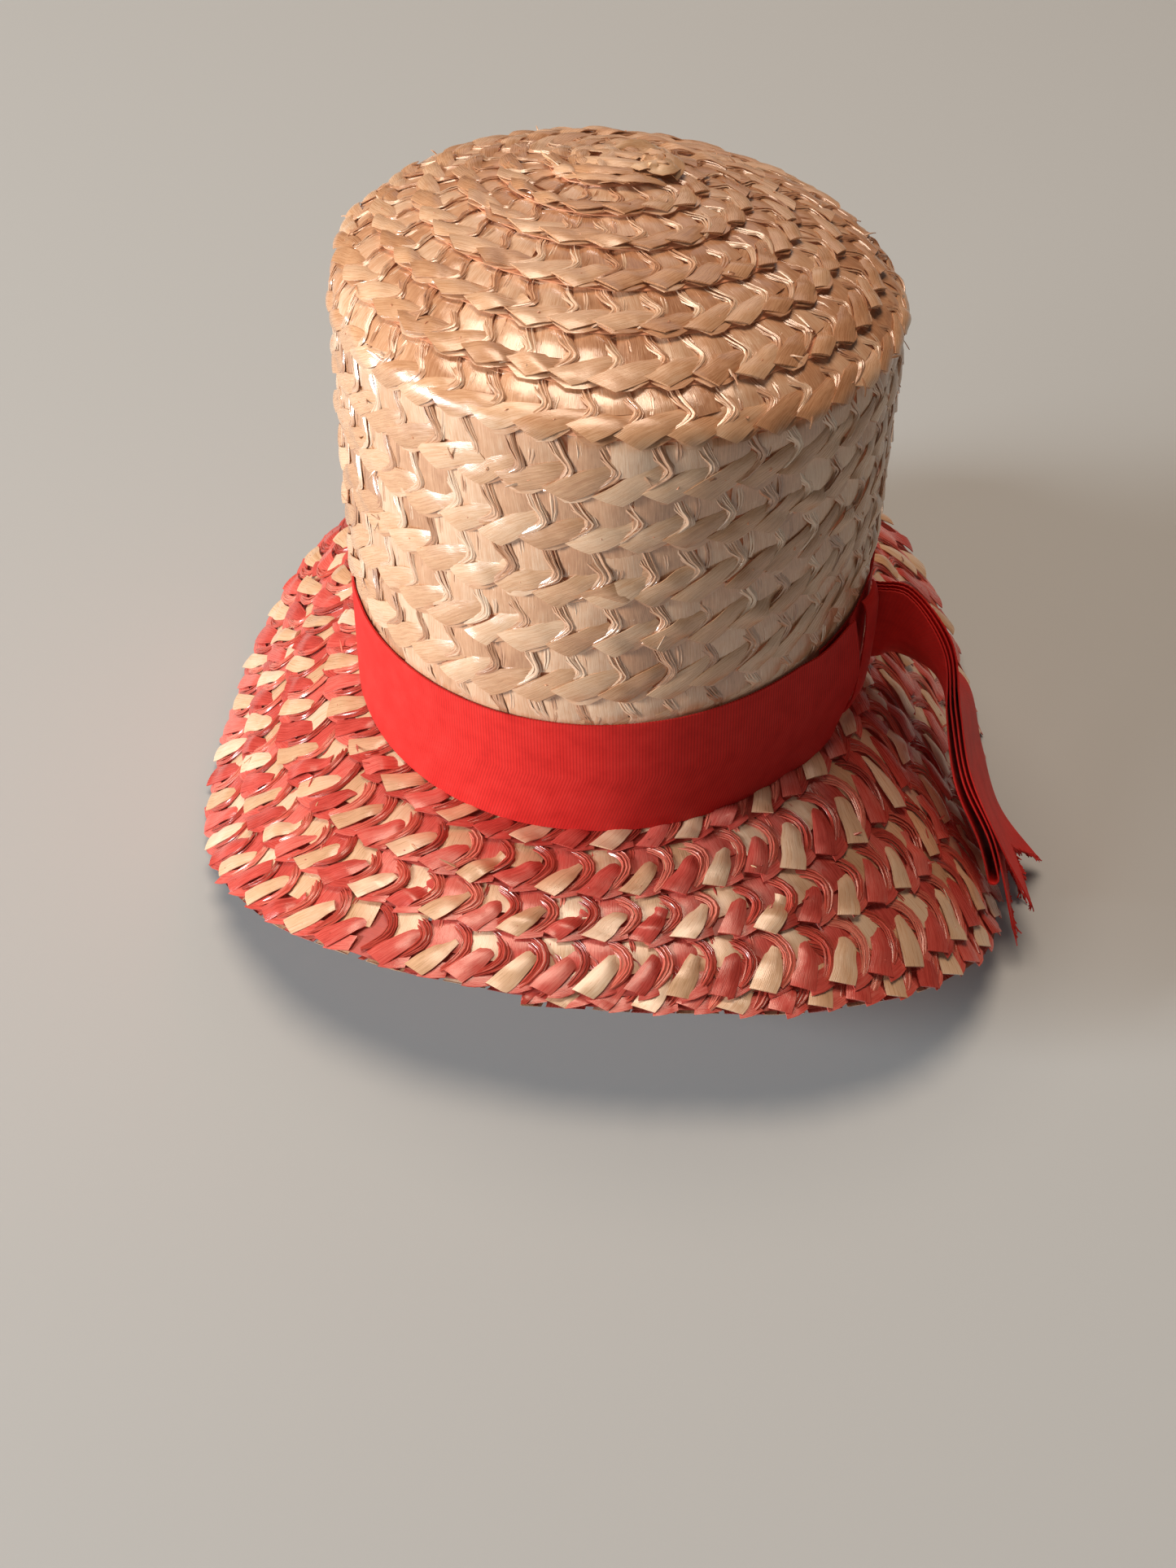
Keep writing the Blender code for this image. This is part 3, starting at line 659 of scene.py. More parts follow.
def ribbon_material(name, deep, plain, pale, ribs=0.45):
    """Grosgrain: the ribs are in the mesh; this adds the fine threads between and along them, and painted shade in the
    hollows between the ribs.
    """
    mat = bpy.data.materials.new(name)
    mat.use_nodes = True
    tree = mat.node_tree
    shader = tree.nodes["Principled BSDF"]
    uv = node(tree, "ShaderNodeUVMap", uv_map="strand")
    split = tree.nodes.new("ShaderNodeSeparateXYZ")
    tree.links.new(uv.outputs[0], split.inputs[0])
    u, v = split.outputs[0], split.outputs[1]                      # cm along the ribbon and across it
    rib = math_node(tree, "MULTIPLY_ADD", math_node(tree, "COSINE", math_node(tree, "MULTIPLY", u, 2 * math.pi / 0.1)),
                    0.5, 0.5)
    thread = math_node(tree, "SINE", math_node(tree, "MULTIPLY", v, 2 * math.pi / 0.022))
    cloud = node(tree, "ShaderNodeTexNoise", Scale=1.3, Detail=4.0, Roughness=0.6)
    tree.links.new(uv.outputs[0], cloud.inputs["Vector"])
    grain = node(tree, "ShaderNodeTexNoise", Scale=60.0, Detail=2.0)
    tree.links.new(uv.outputs[0], grain.inputs["Vector"])
    colour = ramp(tree, cloud.outputs["Fac"], [(0.30, deep), (0.52, plain), (0.78, pale)])
    # painted shade: the hollows between the ribs are darkened towards a deep red, by the amount ribs gives
    rib_hollow_shade = math_node(tree, "POWER", math_node(tree, "SUBTRACT", 1.0, rib), 3.0)
    colour = mix(tree, math_node(tree, "MULTIPLY", rib_hollow_shade, ribs), colour, tuple(0.42 * c for c in deep))
    tree.links.new(colour, shader.inputs["Base Color"])
    shader.inputs["Roughness"].default_value = 0.62
    shader.inputs["Sheen Weight"].default_value = 0.03
    shader.inputs["Sheen Roughness"].default_value = 0.4
    shader.inputs["Specular IOR Level"].default_value = 0.18
    height = math_node(tree, "ADD", math_node(tree, "MULTIPLY", thread, 0.25),
                       math_node(tree, "MULTIPLY", grain.outputs["Fac"], 0.5))
    bump = node(tree, "ShaderNodeBump", Strength=0.35, Distance=0.00008)
    tree.links.new(height, bump.inputs["Height"])
    tree.links.new(bump.outputs[0], shader.inputs["Normal"])
    mat.diffuse_color = (*plain, 1)
    return mat


NATURAL = straw_material("natural_straw", (0.50, 0.24, 0.115), (0.71, 0.402, 0.216), (0.88, 0.60, 0.39), veins=0.40,
                         roughness=0.28)
# painted shade: the patches and flaps that lie in the recesses between the hooks get a darker dark end than NATURAL,
# for the shade there, and more gloss
RECESS_SHADED_NATURAL = straw_material("recess_shaded_natural_straw", (0.46, 0.205, 0.095), (0.71, 0.390, 0.215), (0.93, 0.66, 0.45),
                              veins=0.30, roughness=0.22, gloss=0.85)
FINE_NATURAL = straw_material("fine_natural_straw", (0.40, 0.175, 0.085), (0.70, 0.39, 0.225), (0.95, 0.74, 0.54),
                              veins=0.30, roughness=0.22, gloss=0.85)
CRUMPLED = straw_material("pale_straw", (0.72, 0.40, 0.21), (0.84, 0.56, 0.34), (0.92, 0.74, 0.52), veins=0.35,
                          roughness=0.24)
# painted glow: saturated orange with a stronger emission, standing in for light that comes through and bounces between
# the strands in the gaps; worn by the crown's backing sheet, its stitches and the button's pad
GLOW = straw_material("painted_glow_straw", (0.66, 0.24, 0.11), (0.80, 0.35, 0.17), (0.88, 0.48, 0.28), roughness=0.6,
                      lit=0.07)
CORAL = straw_material("coral_straw", (0.43, 0.044, 0.032), (0.66, 0.092, 0.070), (0.80, 0.20, 0.155),
                       veins=0.45, roughness=0.28, gloss=0.42)
FINE_CORAL = straw_material("fine_coral_straw", (0.32, 0.030, 0.020), (0.58, 0.085, 0.056),
                            (0.84, 0.27, 0.19), veins=0.35, roughness=0.26, gloss=0.35)
MIXED_NATURAL = straw_material("brim_natural_straw", (0.58, 0.33, 0.17), (0.79, 0.50, 0.30), (0.92, 0.71, 0.51),
                               veins=0.4)
# painted shade and painted glow: a darker coral with a faint emission, for the shade and the light coming through in
# the brim's gaps; worn by the brim's backing sheet and its stitches
CORAL_GLOW = straw_material("painted_glow_coral_straw", (0.36, 0.030, 0.018), (0.50, 0.050, 0.030), (0.60, 0.09, 0.055),
                            roughness=0.6, lit=0.03)
THREAD = ribbon_material("coral_thread", (0.62, 0.030, 0.026), (0.78, 0.050, 0.042), (0.86, 0.08, 0.07))
RIBBON = ribbon_material("coral_ribbon", (0.68, 0.022, 0.018), (0.78, 0.030, 0.025), (0.84, 0.042, 0.035))
BOW = ribbon_material("coral_bow_ribbon", (0.62, 0.020, 0.016), (0.72, 0.026, 0.021), (0.80, 0.038, 0.030), ribs=0.12)

# ---------------------------------------------------------------- crown and brim
crown_units = pieces_of_a_unit(CROWN_SHAPE, [-2.3, -1.5, -0.65, 0.25, 1.1, 2.0], 1.0)
brim_units = pieces_of_a_unit(BRIM_SHAPE, [-1.7, -1.05, -0.35, 0.35, 1.05, 1.75], 0.90)
coarse = pieces_of_a_unit(CROWN_SHAPE, [0.0], 2.6, fine=False)
crown_spiral = Spiral("crown", -0.9, 14.0)
brim_spiral = Spiral("brim", -0.7, 4.0)


def crown_slots(name, index):
    return np.full(len(index), {"hook": 1, "post": 1, "stitch": 2, "patch": 3, "flap": 3}.get(name, 0))


def brim_slots(name, index):
    """Strands take turns, coral and natural, and the upright strand above each has the other colour."""
    if name in ("hook", "post"):
        return np.full(len(index), 2)
    if name == "stitch":
        return np.full(len(index), 3)
    if name == "flap":
        return np.full(len(index), 1)
    even = index % 2 == (0 if name == "strand" else 1)
    return np.where(even, 0, 1)


made = []
crown_materials = [NATURAL, FINE_NATURAL, GLOW, RECESS_SHADED_NATURAL]
brim_materials = [MIXED_NATURAL, CORAL, FINE_CORAL, CORAL_GLOW]
# columns: piece, spiral, first row, last row, inside
LAYERS = [
    ("crown_plait_top", "crown", -0.45, 5.4, False),
    ("crown_plait_upper", "crown", 5.4, 9.0, False),
    ("crown_plait_lower", "crown", 9.0, 12.4, False),
    ("crown_plait_inside", "crown", 0.2, 13.6, True),
    ("brim_plait_upper", "brim", -0.35, 2.2, False),
    ("brim_plait_edge", "brim", 2.2, 3.995, False),
    ("brim_plait_under", "brim", -0.2, 3.995, True),
]
for name, kind, first, last, inside in LAYERS:
    pile = Pile()
    spiral = crown_spiral if kind == "crown" else brim_spiral
    plait(spiral, first, last, crown_slots if kind == "crown" else brim_slots, pile, inside,
          coarse if inside else crown_units if kind == "crown" else brim_units)
    made.append(pile.build(name, crown_materials if kind == "crown" else brim_materials))

# the backing sheets are coloured with the painted glow of GLOW and CORAL_GLOW
for name, kind, first, last, steps in (("crown_backing", "crown", -0.7, 13.9, 640),
                                       ("brim_backing", "brim", -0.6, 3.99, 300)):
    pile = Pile()
    core(crown_spiral if kind == "crown" else brim_spiral, first, last, steps, pile, 0)
    made.append(pile.build(name, [GLOW if kind == "crown" else CORAL_GLOW]))

# ---------------------------------------------------------------- the swirl's messy start, and loose fibres
def on_top(x, y, h):
    """Point h mm above the top, x mm right of and y mm behind its middle."""
    x, y = x * MM, y * MM
    p = crown_surface(np.hypot(x, y), np.arctan2(y, x))
    p[..., 2] += h * MM
    return p


def strip(path, width, twist, along, curl=0.0, seed=0, crumple=0.12):
    """Loose flat strand along a path of (x, y, h) in mm. twist turns it about its own length, in turns."""
    r = np.random.default_rng(seed)
    c = sample(path, along + 1)
    t = np.gradient(c, axis=0)
    t /= np.linalg.norm(t, axis=1, keepdims=True)
    side = np.cross([0, 0, 1.0], t)
    side /= np.maximum(np.linalg.norm(side, axis=1, keepdims=True), 1e-9)
    up = np.cross(t, side)
    u = np.linspace(0, 1, along + 1)
    angle = (twist[0] + (twist[1] - twist[0]) * u) * 2 * math.pi
    w = np.array(width) if np.ndim(width) else np.array([width, width])
    w = np.interp(u, np.linspace(0, 1, len(w)), w)
    out = side * np.cos(angle)[:, None] + up * np.sin(angle)[:, None]
    face = np.cross(t, out)
    v = np.linspace(-0.5, 0.5, 5)
    ripple = r.normal(0, crumple, (along + 1, 5))
    top = (c[:, None] + out[:, None] * (w[:, None] * v[None])[..., None]
           + face[:, None] * (curl * (0.25 - (v[None] ** 2)) * 4 * w[:, None] / 6 + ripple)[..., None])
    low = top - face[:, None] * 0.22
    n = 5
    verts = np.concatenate([top.reshape(-1, 3), low.reshape(-1, 3)])
    m = (along + 1) * n
    i, j = np.meshgrid(np.arange(along), np.arange(n - 1), indexing="ij")
    at = (i * n + j).ravel()
    quads = [np.stack([at, at + n, at + n + 1, at + 1], -1), np.stack([at, at + 1, at + n + 1, at + n], -1) + m]
    k = np.arange(along) * n
    quads.append(np.stack([k, k + m, k + n + m, k + n], -1))
    k = k + n - 1
    quads.append(np.stack([k, k + n, k + n + m, k + m], -1))
    for e, flip in ((0, False), (along * n, True)):
        j = e + np.arange(n - 1)
        q = np.stack([j, j + 1, j + 1 + m, j + m], -1)
        quads.append(q[:, ::-1] if flip else q)
    long = np.concatenate([[0], np.cumsum(np.linalg.norm(np.diff(c, axis=0), axis=1))]) / 10
    uv = np.stack(np.broadcast_arrays(long[:, None], (v[None] + 0.5) * w.mean() / 10), -1).reshape(-1, 2)
    return verts, np.concatenate(quads), np.zeros((0, 3), int), np.concatenate([uv, uv])


button = Pile()
loose = np.random.default_rng(5)
BX, BY = -4.0, 20.0                            # mm, the button's middle
strips = []
for i in range(17):                            # strands laid round, one over the next
    a0 = i * 2.4 + loose.uniform(-0.2, 0.2)
    radius = loose.uniform(6.5, 15.5)
    span = loose.uniform(0.7, 1.4)
    a = a0 + np.linspace(0, span, 5)
    rr = radius + np.linspace(0, loose.uniform(-3, 3), 5)
    h = 2.3 + 0.075 * i + np.array([-0.8, 0.3, 0.6, 0.3, -0.9])
    strips.append(([(BX + p * math.cos(q), BY + p * math.sin(q), z) for p, q, z in zip(rr, a, h)],
                   [loose.uniform(4.0, 6.5), loose.uniform(5.0, 7.0), loose.uniform(2.0, 5.5)],
                   (loose.uniform(-0.03, 0.03), loose.uniform(-0.04, 0.04)), 8, 0.6, 0))
# columns: path (x, y, h) in mm, width, turn at each end, cells, curl, material
strips += [
    ([(-22, 10, 1.6), (-14, 4.5, 3.4), (-6, 2.4, 4.1), (1, 2.6, 3.6)], [4.0, 6.0, 6.0], (0.01, -0.02), 10, 0.5, 0),
    ([(-9, 1.8, 2.2), (-1, 2.2, 4.0), (7, 4.6, 4.2), (14, 9.0, 2.2)], [3.0, 6.2, 5.0], (-0.03, 0.02), 10, 0.5, 0),
    ([(-23, 16, 1.6), (-15, 9.5, 3.8), (-6, 7.0, 4.6), (3, 8.2, 4.4)], [4.5, 6.0, 5.0], (0.03, 0.0), 10, 0.6, 0),
    ([(-18, 22, 2.6), (-9, 15, 4.4), (2, 13.0, 4.9), (12, 15, 4.0)], [5.0, 6.5, 3.5], (0.02, 0.05), 10, 0.5, 0),
    ([(-17, 33, 1.8), (-9, 26, 4.4), (0, 22, 5.2), (9, 22, 4.8)], [4.0, 6.0, 5.0], (-0.04, 0.03), 10, 0.5, 0),
    ([(-12, 40, 1.2), (-7, 32, 3.9), (-4, 24, 5.0), (-7, 15, 4.6), (-6, 9, 4.2)], [3.0, 5.5, 4.0], (0.05, -0.05), 12,
     0.5, 0),
    ([(-5, 29, 4.0), (2, 34, 5.0), (9, 39, 4.4), (15, 45, 1.8)], [2.5, 5.0, 4.0], (0.10, 0.02), 8, 0.4, 1),
    # the end of the plait, folded over and crumpled
    ([(1, 15, 4.0), (5, 12.0, 4.9), (9, 13.5, 5.7), (11.5, 11.5, 5.2), (15.5, 14, 6.0), (17, 19.5, 5.4)],
     [3.0, 5.5, 6.5, 5.5, 6.0], (0.00, 0.06), 14, 0.4, 1),
    ([(16.5, 13, 3.6), (18.0, 19, 5.4), (16.5, 25, 6.0), (13, 29.5, 5.2), (7, 31, 4.6)], [4.5, 7.0, 6.0, 4.0],
     (0.06, 0.00), 12, 0.4, 1),
    ([(3, 24, 4.6), (8, 27, 5.6), (12.5, 25.5, 6.2), (16, 28, 5.4)], [3.5, 6.5, 5.0], (-0.04, 0.05), 10, 0.5, 1),
    ([(2, 19, 4.7), (6.5, 20, 5.6), (10, 18.5, 5.9), (14.5, 21.5, 5.8)], [3.5, 6.5, 5.0], (-0.05, 0.05), 10, 0.6, 1),
    ([(6, 16, 4.8), (10, 18, 5.8), (13, 16.5, 6.3), (17, 17, 5.6)], [2.5, 5.0, 4.5], (0.05, -0.05), 10, 0.6, 1),
    ([(-27, 24, 0.8), (-24.5, 18.5, 2.4), (-22, 13.5, 3.6)], [1.5, 1.9, 1.6], (0.0, 0.06), 5, 0.2, 1),
    ([(-21, 12, 3.0), (-25, 16, 4.4), (-29, 20.5, 5.4)], [1.4, 1.7, 1.0], (0.05, 0.12), 5, 0.2, 1),
]
# a flat pad below them: broad strips side by side, in GLOW's painted glow
strips += [([(BX - 17, BY - 12 + 4.2 * i, 0.9), (BX - 6, BY - 12.5 + 4.2 * i, 2.2), (BX + 6, BY - 12 + 4.2 * i, 2.2),
             (BX + 16, BY - 11.5 + 4.2 * i, 0.9)], [4.8, 4.8, 4.8], (0.0, 0.0), 8, 0.2, 2) for i in range(7)]
for i, (path, width, turn, cells, curl, slot) in enumerate(strips):
    verts, quads, tris, uv = strip(path, width, turn, cells, curl, seed=300 + i, crumple=(0.14, 0.28, 0.03)[slot])
    p = on_top(verts[:, 0], verts[:, 1], verts[:, 2])
    button.add(p[None], quads, tris, uv, np.array([loose.random()]), np.array([slot]))
made.append(button.build("crown_button", [NATURAL, CRUMPLED, GLOW]))


def slivers(kind, spiral, first, last, count, slots, name, materials, seed):
    """Split ends that stand off the plait here and there."""
    r = np.random.default_rng(seed)
    pile = Pile()
    a, b = np.interp([first, last], spiral.rows, spiral.length)
    for i in range(count):
        start = r.uniform(a, b)
        x, y = r.uniform(-4, 8), r.uniform(2.5, 9)
        turn = r.uniform(0, 2 * math.pi)
        long = r.uniform(2.5, 6.5)
        rise = r.uniform(0.0, 0.75)
        path = [(x, y, 0.9), (x + 0.5 * long * math.cos(turn), y + 0.4 * long * math.sin(turn), 1.5 + 0.9 * rise),
                (x + long * math.cos(turn), y + 0.9 * long * math.sin(turn), 1.6 + 2.4 * rise)]
        verts, quads, tris, uv = strip(path, [r.uniform(0.4, 0.9), 0.6, 0.2], (0.0, r.uniform(-0.08, 0.08)), 4, 0.2,
                                       seed=seed + i, crumple=0.03)
        p = spiral.place(start + 0 * verts[None, :, 0], verts[None, :, 0], verts[None, :, 1], verts[None, :, 2])
        pile.add(p, quads, tris, uv, np.array([r.random()]), np.array([slots[r.integers(len(slots))]]))
    return pile.build(name, materials)


made.append(slivers("crown", crown_spiral, 0.5, 11.3, 80, [1], "crown_loose_fibres", [NATURAL, FINE_NATURAL], 700))
made.append(slivers("brim", brim_spiral, 0.1, 2.9, 45, [0, 2, 2], "brim_loose_fibres",
                    [MIXED_NATURAL, CORAL, FINE_CORAL], 900))

for obj in made:
    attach(obj, "root")
    on_crown = obj.name.startswith("crown")
    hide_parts("crown" if on_crown else "brim")

# ---------------------------------------------------------------- ribbons
GAP, RIBBON_THICK = 0.0006, 0.0010
# columns: section, edge nearer the front (x, y, z), edge nearer the back (x, y, z)
RIBBON_PATH = [
    ("at_knot", (0.0846, -0.0236, 0.0452), (0.0850, -0.0214, 0.0160)),
    ("top_of_arch", (0.0961, -0.0299, 0.0477), (0.0900, -0.0178, 0.0149)),
    ("turning", (0.1098, -0.0409, 0.0352), (0.1006, -0.0092, 0.0100)),
    ("falling", (0.1148, -0.0502, 0.0147), (0.1219, -0.0121, -0.0013)),
    ("over_brim", (0.1209, -0.0596, -0.0059), (0.1299, -0.0218, -0.0219)),
    ("near_edge", (0.1319, -0.0698, -0.0241), (0.1384, -0.0321, -0.0414)),
    ("end", (0.1443, -0.0797, -0.0418), (0.1535, -0.0412, -0.0560)),
]
INNER_PATH = RIBBON_PATH[:-1] + [("end", (0.1402, -0.0845, -0.0478), (0.1482, -0.0560, -0.0583))]
LAYER_DEPTHS = {
    "tail_outer": (0.0, 0.0, 0.0),
    "tail_inner": (0.0014, 0.0016, 0.0015),
    "bow_loop": (0.0028, 0.0032, 0.0030),
}
FISHTAIL, LOOP_END, LOOP_OPEN, LOOP_PRESSED = 0.62, 5.40, 0.0034, 0.0011
BAND_LIFT = [(-50.0, 0.0), (-38.0, 0.0020), (-26.0, 0.0060)]
BAND_START, BAND_END = -40.0, (-33.0, -28.0, -28.5)
KNOT_PROFILE = [
    (0.0022, 0.0030), (0.0050, 0.0040), (0.0100, 0.0054), (0.0250, 0.0061),
    (0.0380, 0.0058), (0.0428, 0.0046), (0.0442, 0.0030),
]
KNOT_LEFT, KNOT_RIGHT, KNOT_SKEW = -24.2, -17.0, 3.0
SECTIONS = len(RIBBON_PATH) - 1


def curve(points, u):
    p = np.array(points, float)
    q = np.vstack([2 * p[0] - p[1], p, 2 * p[-1] - p[-2]])
    i = np.clip(np.floor(u).astype(int), 0, len(p) - 2)
    f = (u - i)[..., None]
    p0, p1, p2, p3 = q[i], q[i + 1], q[i + 2], q[i + 3]
    return 0.5 * (2 * p1 + (p2 - p0) * f + (2 * p0 - 5 * p1 + 4 * p2 - p3) * f ** 2
                  + (3 * p1 - p0 - 3 * p2 + p3) * f ** 3)


def side_point(angle, height, off):
    size = 1 + WALL_SPREAD * height
    x, y = HEAD_HALF_WIDTH * size * np.cos(angle), HEAD_HALF_LENGTH * size * np.sin(angle)
    nx, ny = x / HEAD_HALF_WIDTH ** 2, y / HEAD_HALF_LENGTH ** 2
    n = np.hypot(nx, ny)
    return slump(x + off * nx / n, y + off * ny / n, height)


def band_place(u, v):
    low, middle, high = BAND_END
    end = 360 + np.where(v < 0.5, low + (middle - low) * 2 * v, middle + (high - middle) * (2 * v - 1))
    angle = BAND_START + (end - BAND_START) * u
    height = -0.0008 + RIBBON_WIDTH * v
    far = angle > 180
    lifts = np.array(BAND_LIFT)
    lift = np.where(far, np.interp(angle - 360, lifts[:, 0], lifts[:, 1]) * (0.40 + 0.60 * np.sin(np.pi * v)), 0)
    first = np.where(far, 0.0016 * smooth((angle - 360 + 48) / 8), 0)
    return side_point(np.radians(angle), height, GAP + RIBBON_THICK / 2 + np.maximum(lift, first))


def knot_place(u, v):
    row = curve(KNOT_PROFILE, u * (len(KNOT_PROFILE) - 1))
    angle = KNOT_LEFT + (KNOT_RIGHT - KNOT_LEFT) * v - KNOT_SKEW * (1 - u)
    return side_point(np.radians(angle), row[..., 0], row[..., 1] - 0.0010 * (2 * v - 1) ** 2 + RIBBON_THICK / 2)


def layer_depth(name, u):
    knot, arch, edge = LAYER_DEPTHS[name]
    return np.interp(u, [0.0, 2.0, SECTIONS - 1.0], [knot, arch, edge])


def ribbon_point(rows, u, v, depth):
    near, far = [r[1] for r in rows], [r[2] for r in rows]
    a, b = curve(near, u), curve(far, u)
    ahead = curve(near, u + 0.02) + curve(far, u + 0.02) - curve(near, u - 0.02) - curve(far, u - 0.02)
    under = np.cross(b - a, ahead)
    under /= np.linalg.norm(under, axis=-1, keepdims=True)
    return a + (b - a) * v[..., None] + under * depth[..., None] + [-CENTRE_X, -CENTRE_Y, FOOT_HEIGHT]


def tail_place(name, rows):
    def place(u, v):
        s = u * (SECTIONS - FISHTAIL * (1 - np.abs(2 * v - 1)))
        return ribbon_point(rows, s, v, layer_depth(name, s))
    return place


def loop_place(u, v):
    out, fold = 0.47, 0.56
    opening = lambda s: LOOP_PRESSED + (LOOP_OPEN - LOOP_PRESSED) * smooth((s - 2.0) / (LOOP_END - 2.0))
    s_out = LOOP_END * np.clip(u / out, 0, 1)
    s_back = LOOP_END * np.clip((1 - u) / (1 - fold), 0, 1)
    there = ribbon_point(INNER_PATH, s_out, v, layer_depth("bow_loop", s_out))
    back = ribbon_point(INNER_PATH, s_back, v, layer_depth("bow_loop", s_back) + opening(s_back))
    turn = math.pi * np.clip((u - out) / (fold - out), 0, 1)
    end = LOOP_END + 0 * u
    depth, half = layer_depth("bow_loop", end), opening(LOOP_END) / 2
    here = ribbon_point(INNER_PATH, end, v, depth + half * (1 - np.cos(turn)))
    ahead = ribbon_point(INNER_PATH, end, v, depth) - ribbon_point(INNER_PATH, end - 0.02, v, depth)
    ahead /= np.linalg.norm(ahead, axis=-1, keepdims=True)
    bend = here + ahead * (half * np.sin(turn))[..., None]
    middle = (u > out) & (u < fold)
    return np.where(middle[..., None], bend, np.where((u >= fold)[..., None], back, there))


def grosgrain(name, place, across, material, rib=0.0010, relief=0.00016, thick=0.0007, fine=2, wave=0.0):
    """Ribbed ribbon: ribs across its width, scalloped edges, closed all round."""
    probe = np.linspace(0, 1, 2001)
    line = place(probe, 0.5 + 0 * probe)
    length = np.concatenate([[0], np.cumsum(np.linalg.norm(np.diff(line, axis=0), axis=1))])
    ribs = int(round(length[-1] / rib))
    along = ribs * fine
    dist = np.linspace(0, length[-1], along + 1)
    u = np.interp(dist, length, probe)
    phase = 2 * math.pi * np.arange(along + 1) / fine
    high = 0.5 - 0.5 * np.cos(phase)
    v = np.linspace(0, 1, across + 1)
    U, V = np.meshgrid(u, v, indexing="ij")
    P = place(U, V)
    e = 0.004
    du = place(np.clip(U + e, 0, 1), V) - place(np.clip(U - e, 0, 1), V)
    dv = place(U, np.clip(V + 0.02, 0, 1)) - place(U, np.clip(V - 0.02, 0, 1))
    normal = np.cross(du, dv)
    normal /= np.maximum(np.linalg.norm(normal, axis=-1, keepdims=True), 1e-12)
    dv /= np.maximum(np.linalg.norm(dv, axis=-1, keepdims=True), 1e-12)
    edge = np.zeros_like(V)
    edge[:, 0], edge[:, -1] = -1, 1
    P = P + dv * (edge * (0.00022 * high[:, None]))[..., None]
    if wave:
        D = dist[:, None] + 0 * V
        sway = wave * (np.sin(D * 95 + 1.0) * 0.6 + np.sin(D * 211 + 3 * V) * 0.4)
        P = P + normal * (sway * (0.35 + 0.65 * np.abs(2 * V - 1)))[..., None]
    top = P + normal * (thick / 2 - relief / 2 + relief * high[:, None] * np.where(np.abs(edge) > 0, 0.4, 1))[..., None]
    low = P - normal * (thick / 2 - relief / 2 + relief * high[:, None] * np.where(np.abs(edge) > 0, 0.4, 1))[..., None]
    n = across + 1
    verts = np.concatenate([top.reshape(-1, 3), low.reshape(-1, 3)])
    m = (along + 1) * n
    i, j = np.meshgrid(np.arange(along), np.arange(across), indexing="ij")
    at = (i * n + j).ravel()
    quads = [np.stack([at, at + n, at + n + 1, at + 1], -1), np.stack([at, at + 1, at + n + 1, at + n], -1) + m]
    k = np.arange(along) * n
    quads.append(np.stack([k, k + m, k + n + m, k + n], -1))
    k = k + across
    quads.append(np.stack([k, k + n, k + n + m, k + m], -1))
    for end, flip in ((0, False), (along * n, True)):
        j = end + np.arange(across)
        q = np.stack([j, j + 1, j + 1 + m, j + m], -1)
        quads.append(q[:, ::-1] if flip else q)
    width = np.linalg.norm(place(probe * 0 + 0.3, np.array([1.0] * 2001)) - place(probe * 0 + 0.3, 0 * probe),
                           axis=-1)[0]
    D = (dist[:, None] + 0 * V) * 100
    uv = np.stack([D.ravel(), V.ravel() * width * 100], -1)
    pile = Pile()
    pile.add(verts[None], np.concatenate(quads), np.zeros((0, 3), int), np.concatenate([uv, uv]), np.array([0.5]),
             np.array([0]))
    obj = pile.build(name, [material], sharp=60)
    return obj, float(length[-1]), float(width)


def frayed(name, place, count, seed):
    """Loose warp threads at a fishtail's cut, gathered in tufts."""
    r = np.random.default_rng(seed)
    pile = Pile()
    tufts = r.normal(0, 0.45, (9, 2))
    reach = r.uniform(0.7, 1.3, 9)
    for i in range(count):
        v = np.array([r.uniform(0.0, 1.0) ** 0.6 if r.random() < 0.5 else 1 - r.uniform(0.0, 1.0) ** 0.6])
        u = np.array([0.97])
        here, end = place(u, v)[0], place(np.array([1.0]), v)[0]
        side = place(u, np.clip(v + 0.02, 0, 1))[0] - place(u, np.clip(v - 0.02, 0, 1))[0]
        ahead = (end - here) / np.linalg.norm(end - here)
        side /= np.linalg.norm(side)
        up = np.cross(ahead, side)
        k = int(v[0] * 8.99)
        tip = abs(v[0] - 0.5) > 0.38
        long = r.uniform(0.8, 2.4) * MM * reach[k] * (1.6 if tip else 0.8)
        bend, lift = tufts[k] + r.normal(0, 0.22, 2)
        start = end - ahead * 1.0 * MM + up * r.uniform(-0.2, 0.2) * MM
        c = [start + ahead * t * (long + 1.0 * MM) + (side * bend + up * lift) * t * t * long
             + (side * r.normal() + up * r.normal()) * 0.10 * MM * t for t in np.linspace(0, 1, 5)]
        verts, quads = thread(np.array(c), r.uniform(0.34, 0.52) * MM)
        pile.add(verts[None], quads, np.zeros((0, 3), int), np.zeros((len(verts), 2)) + [0.05, 0.0],
                 np.array([r.random()]), np.array([0]))
    return pile.build(name, [THREAD])


def thread(c, size):
    """Round thread through points in metres, four sides, closed ends."""
    t = np.gradient(c, axis=0)
    t /= np.linalg.norm(t, axis=1, keepdims=True)
    a = np.cross(t, [0.3, 0.2, 0.93])
    a /= np.linalg.norm(a, axis=1, keepdims=True)
    b = np.cross(t, a)
    ring = np.stack([c + size / 2 * (a * math.cos(k * math.pi / 2) + b * math.sin(k * math.pi / 2))
                     for k in range(4)], 1)
    n = len(c)
    k = np.arange(n - 1)[:, None] * 4
    j = np.arange(4)[None]
    quads = np.stack([k + j, k + (j + 1) % 4, k + 4 + (j + 1) % 4, k + 4 + j], -1).reshape(-1, 4)
    quads = np.concatenate([quads, [[3, 2, 1, 0]], [[n * 4 - 4, n * 4 - 3, n * 4 - 2, n * 4 - 1]]])
    return ring.reshape(-1, 3), quads


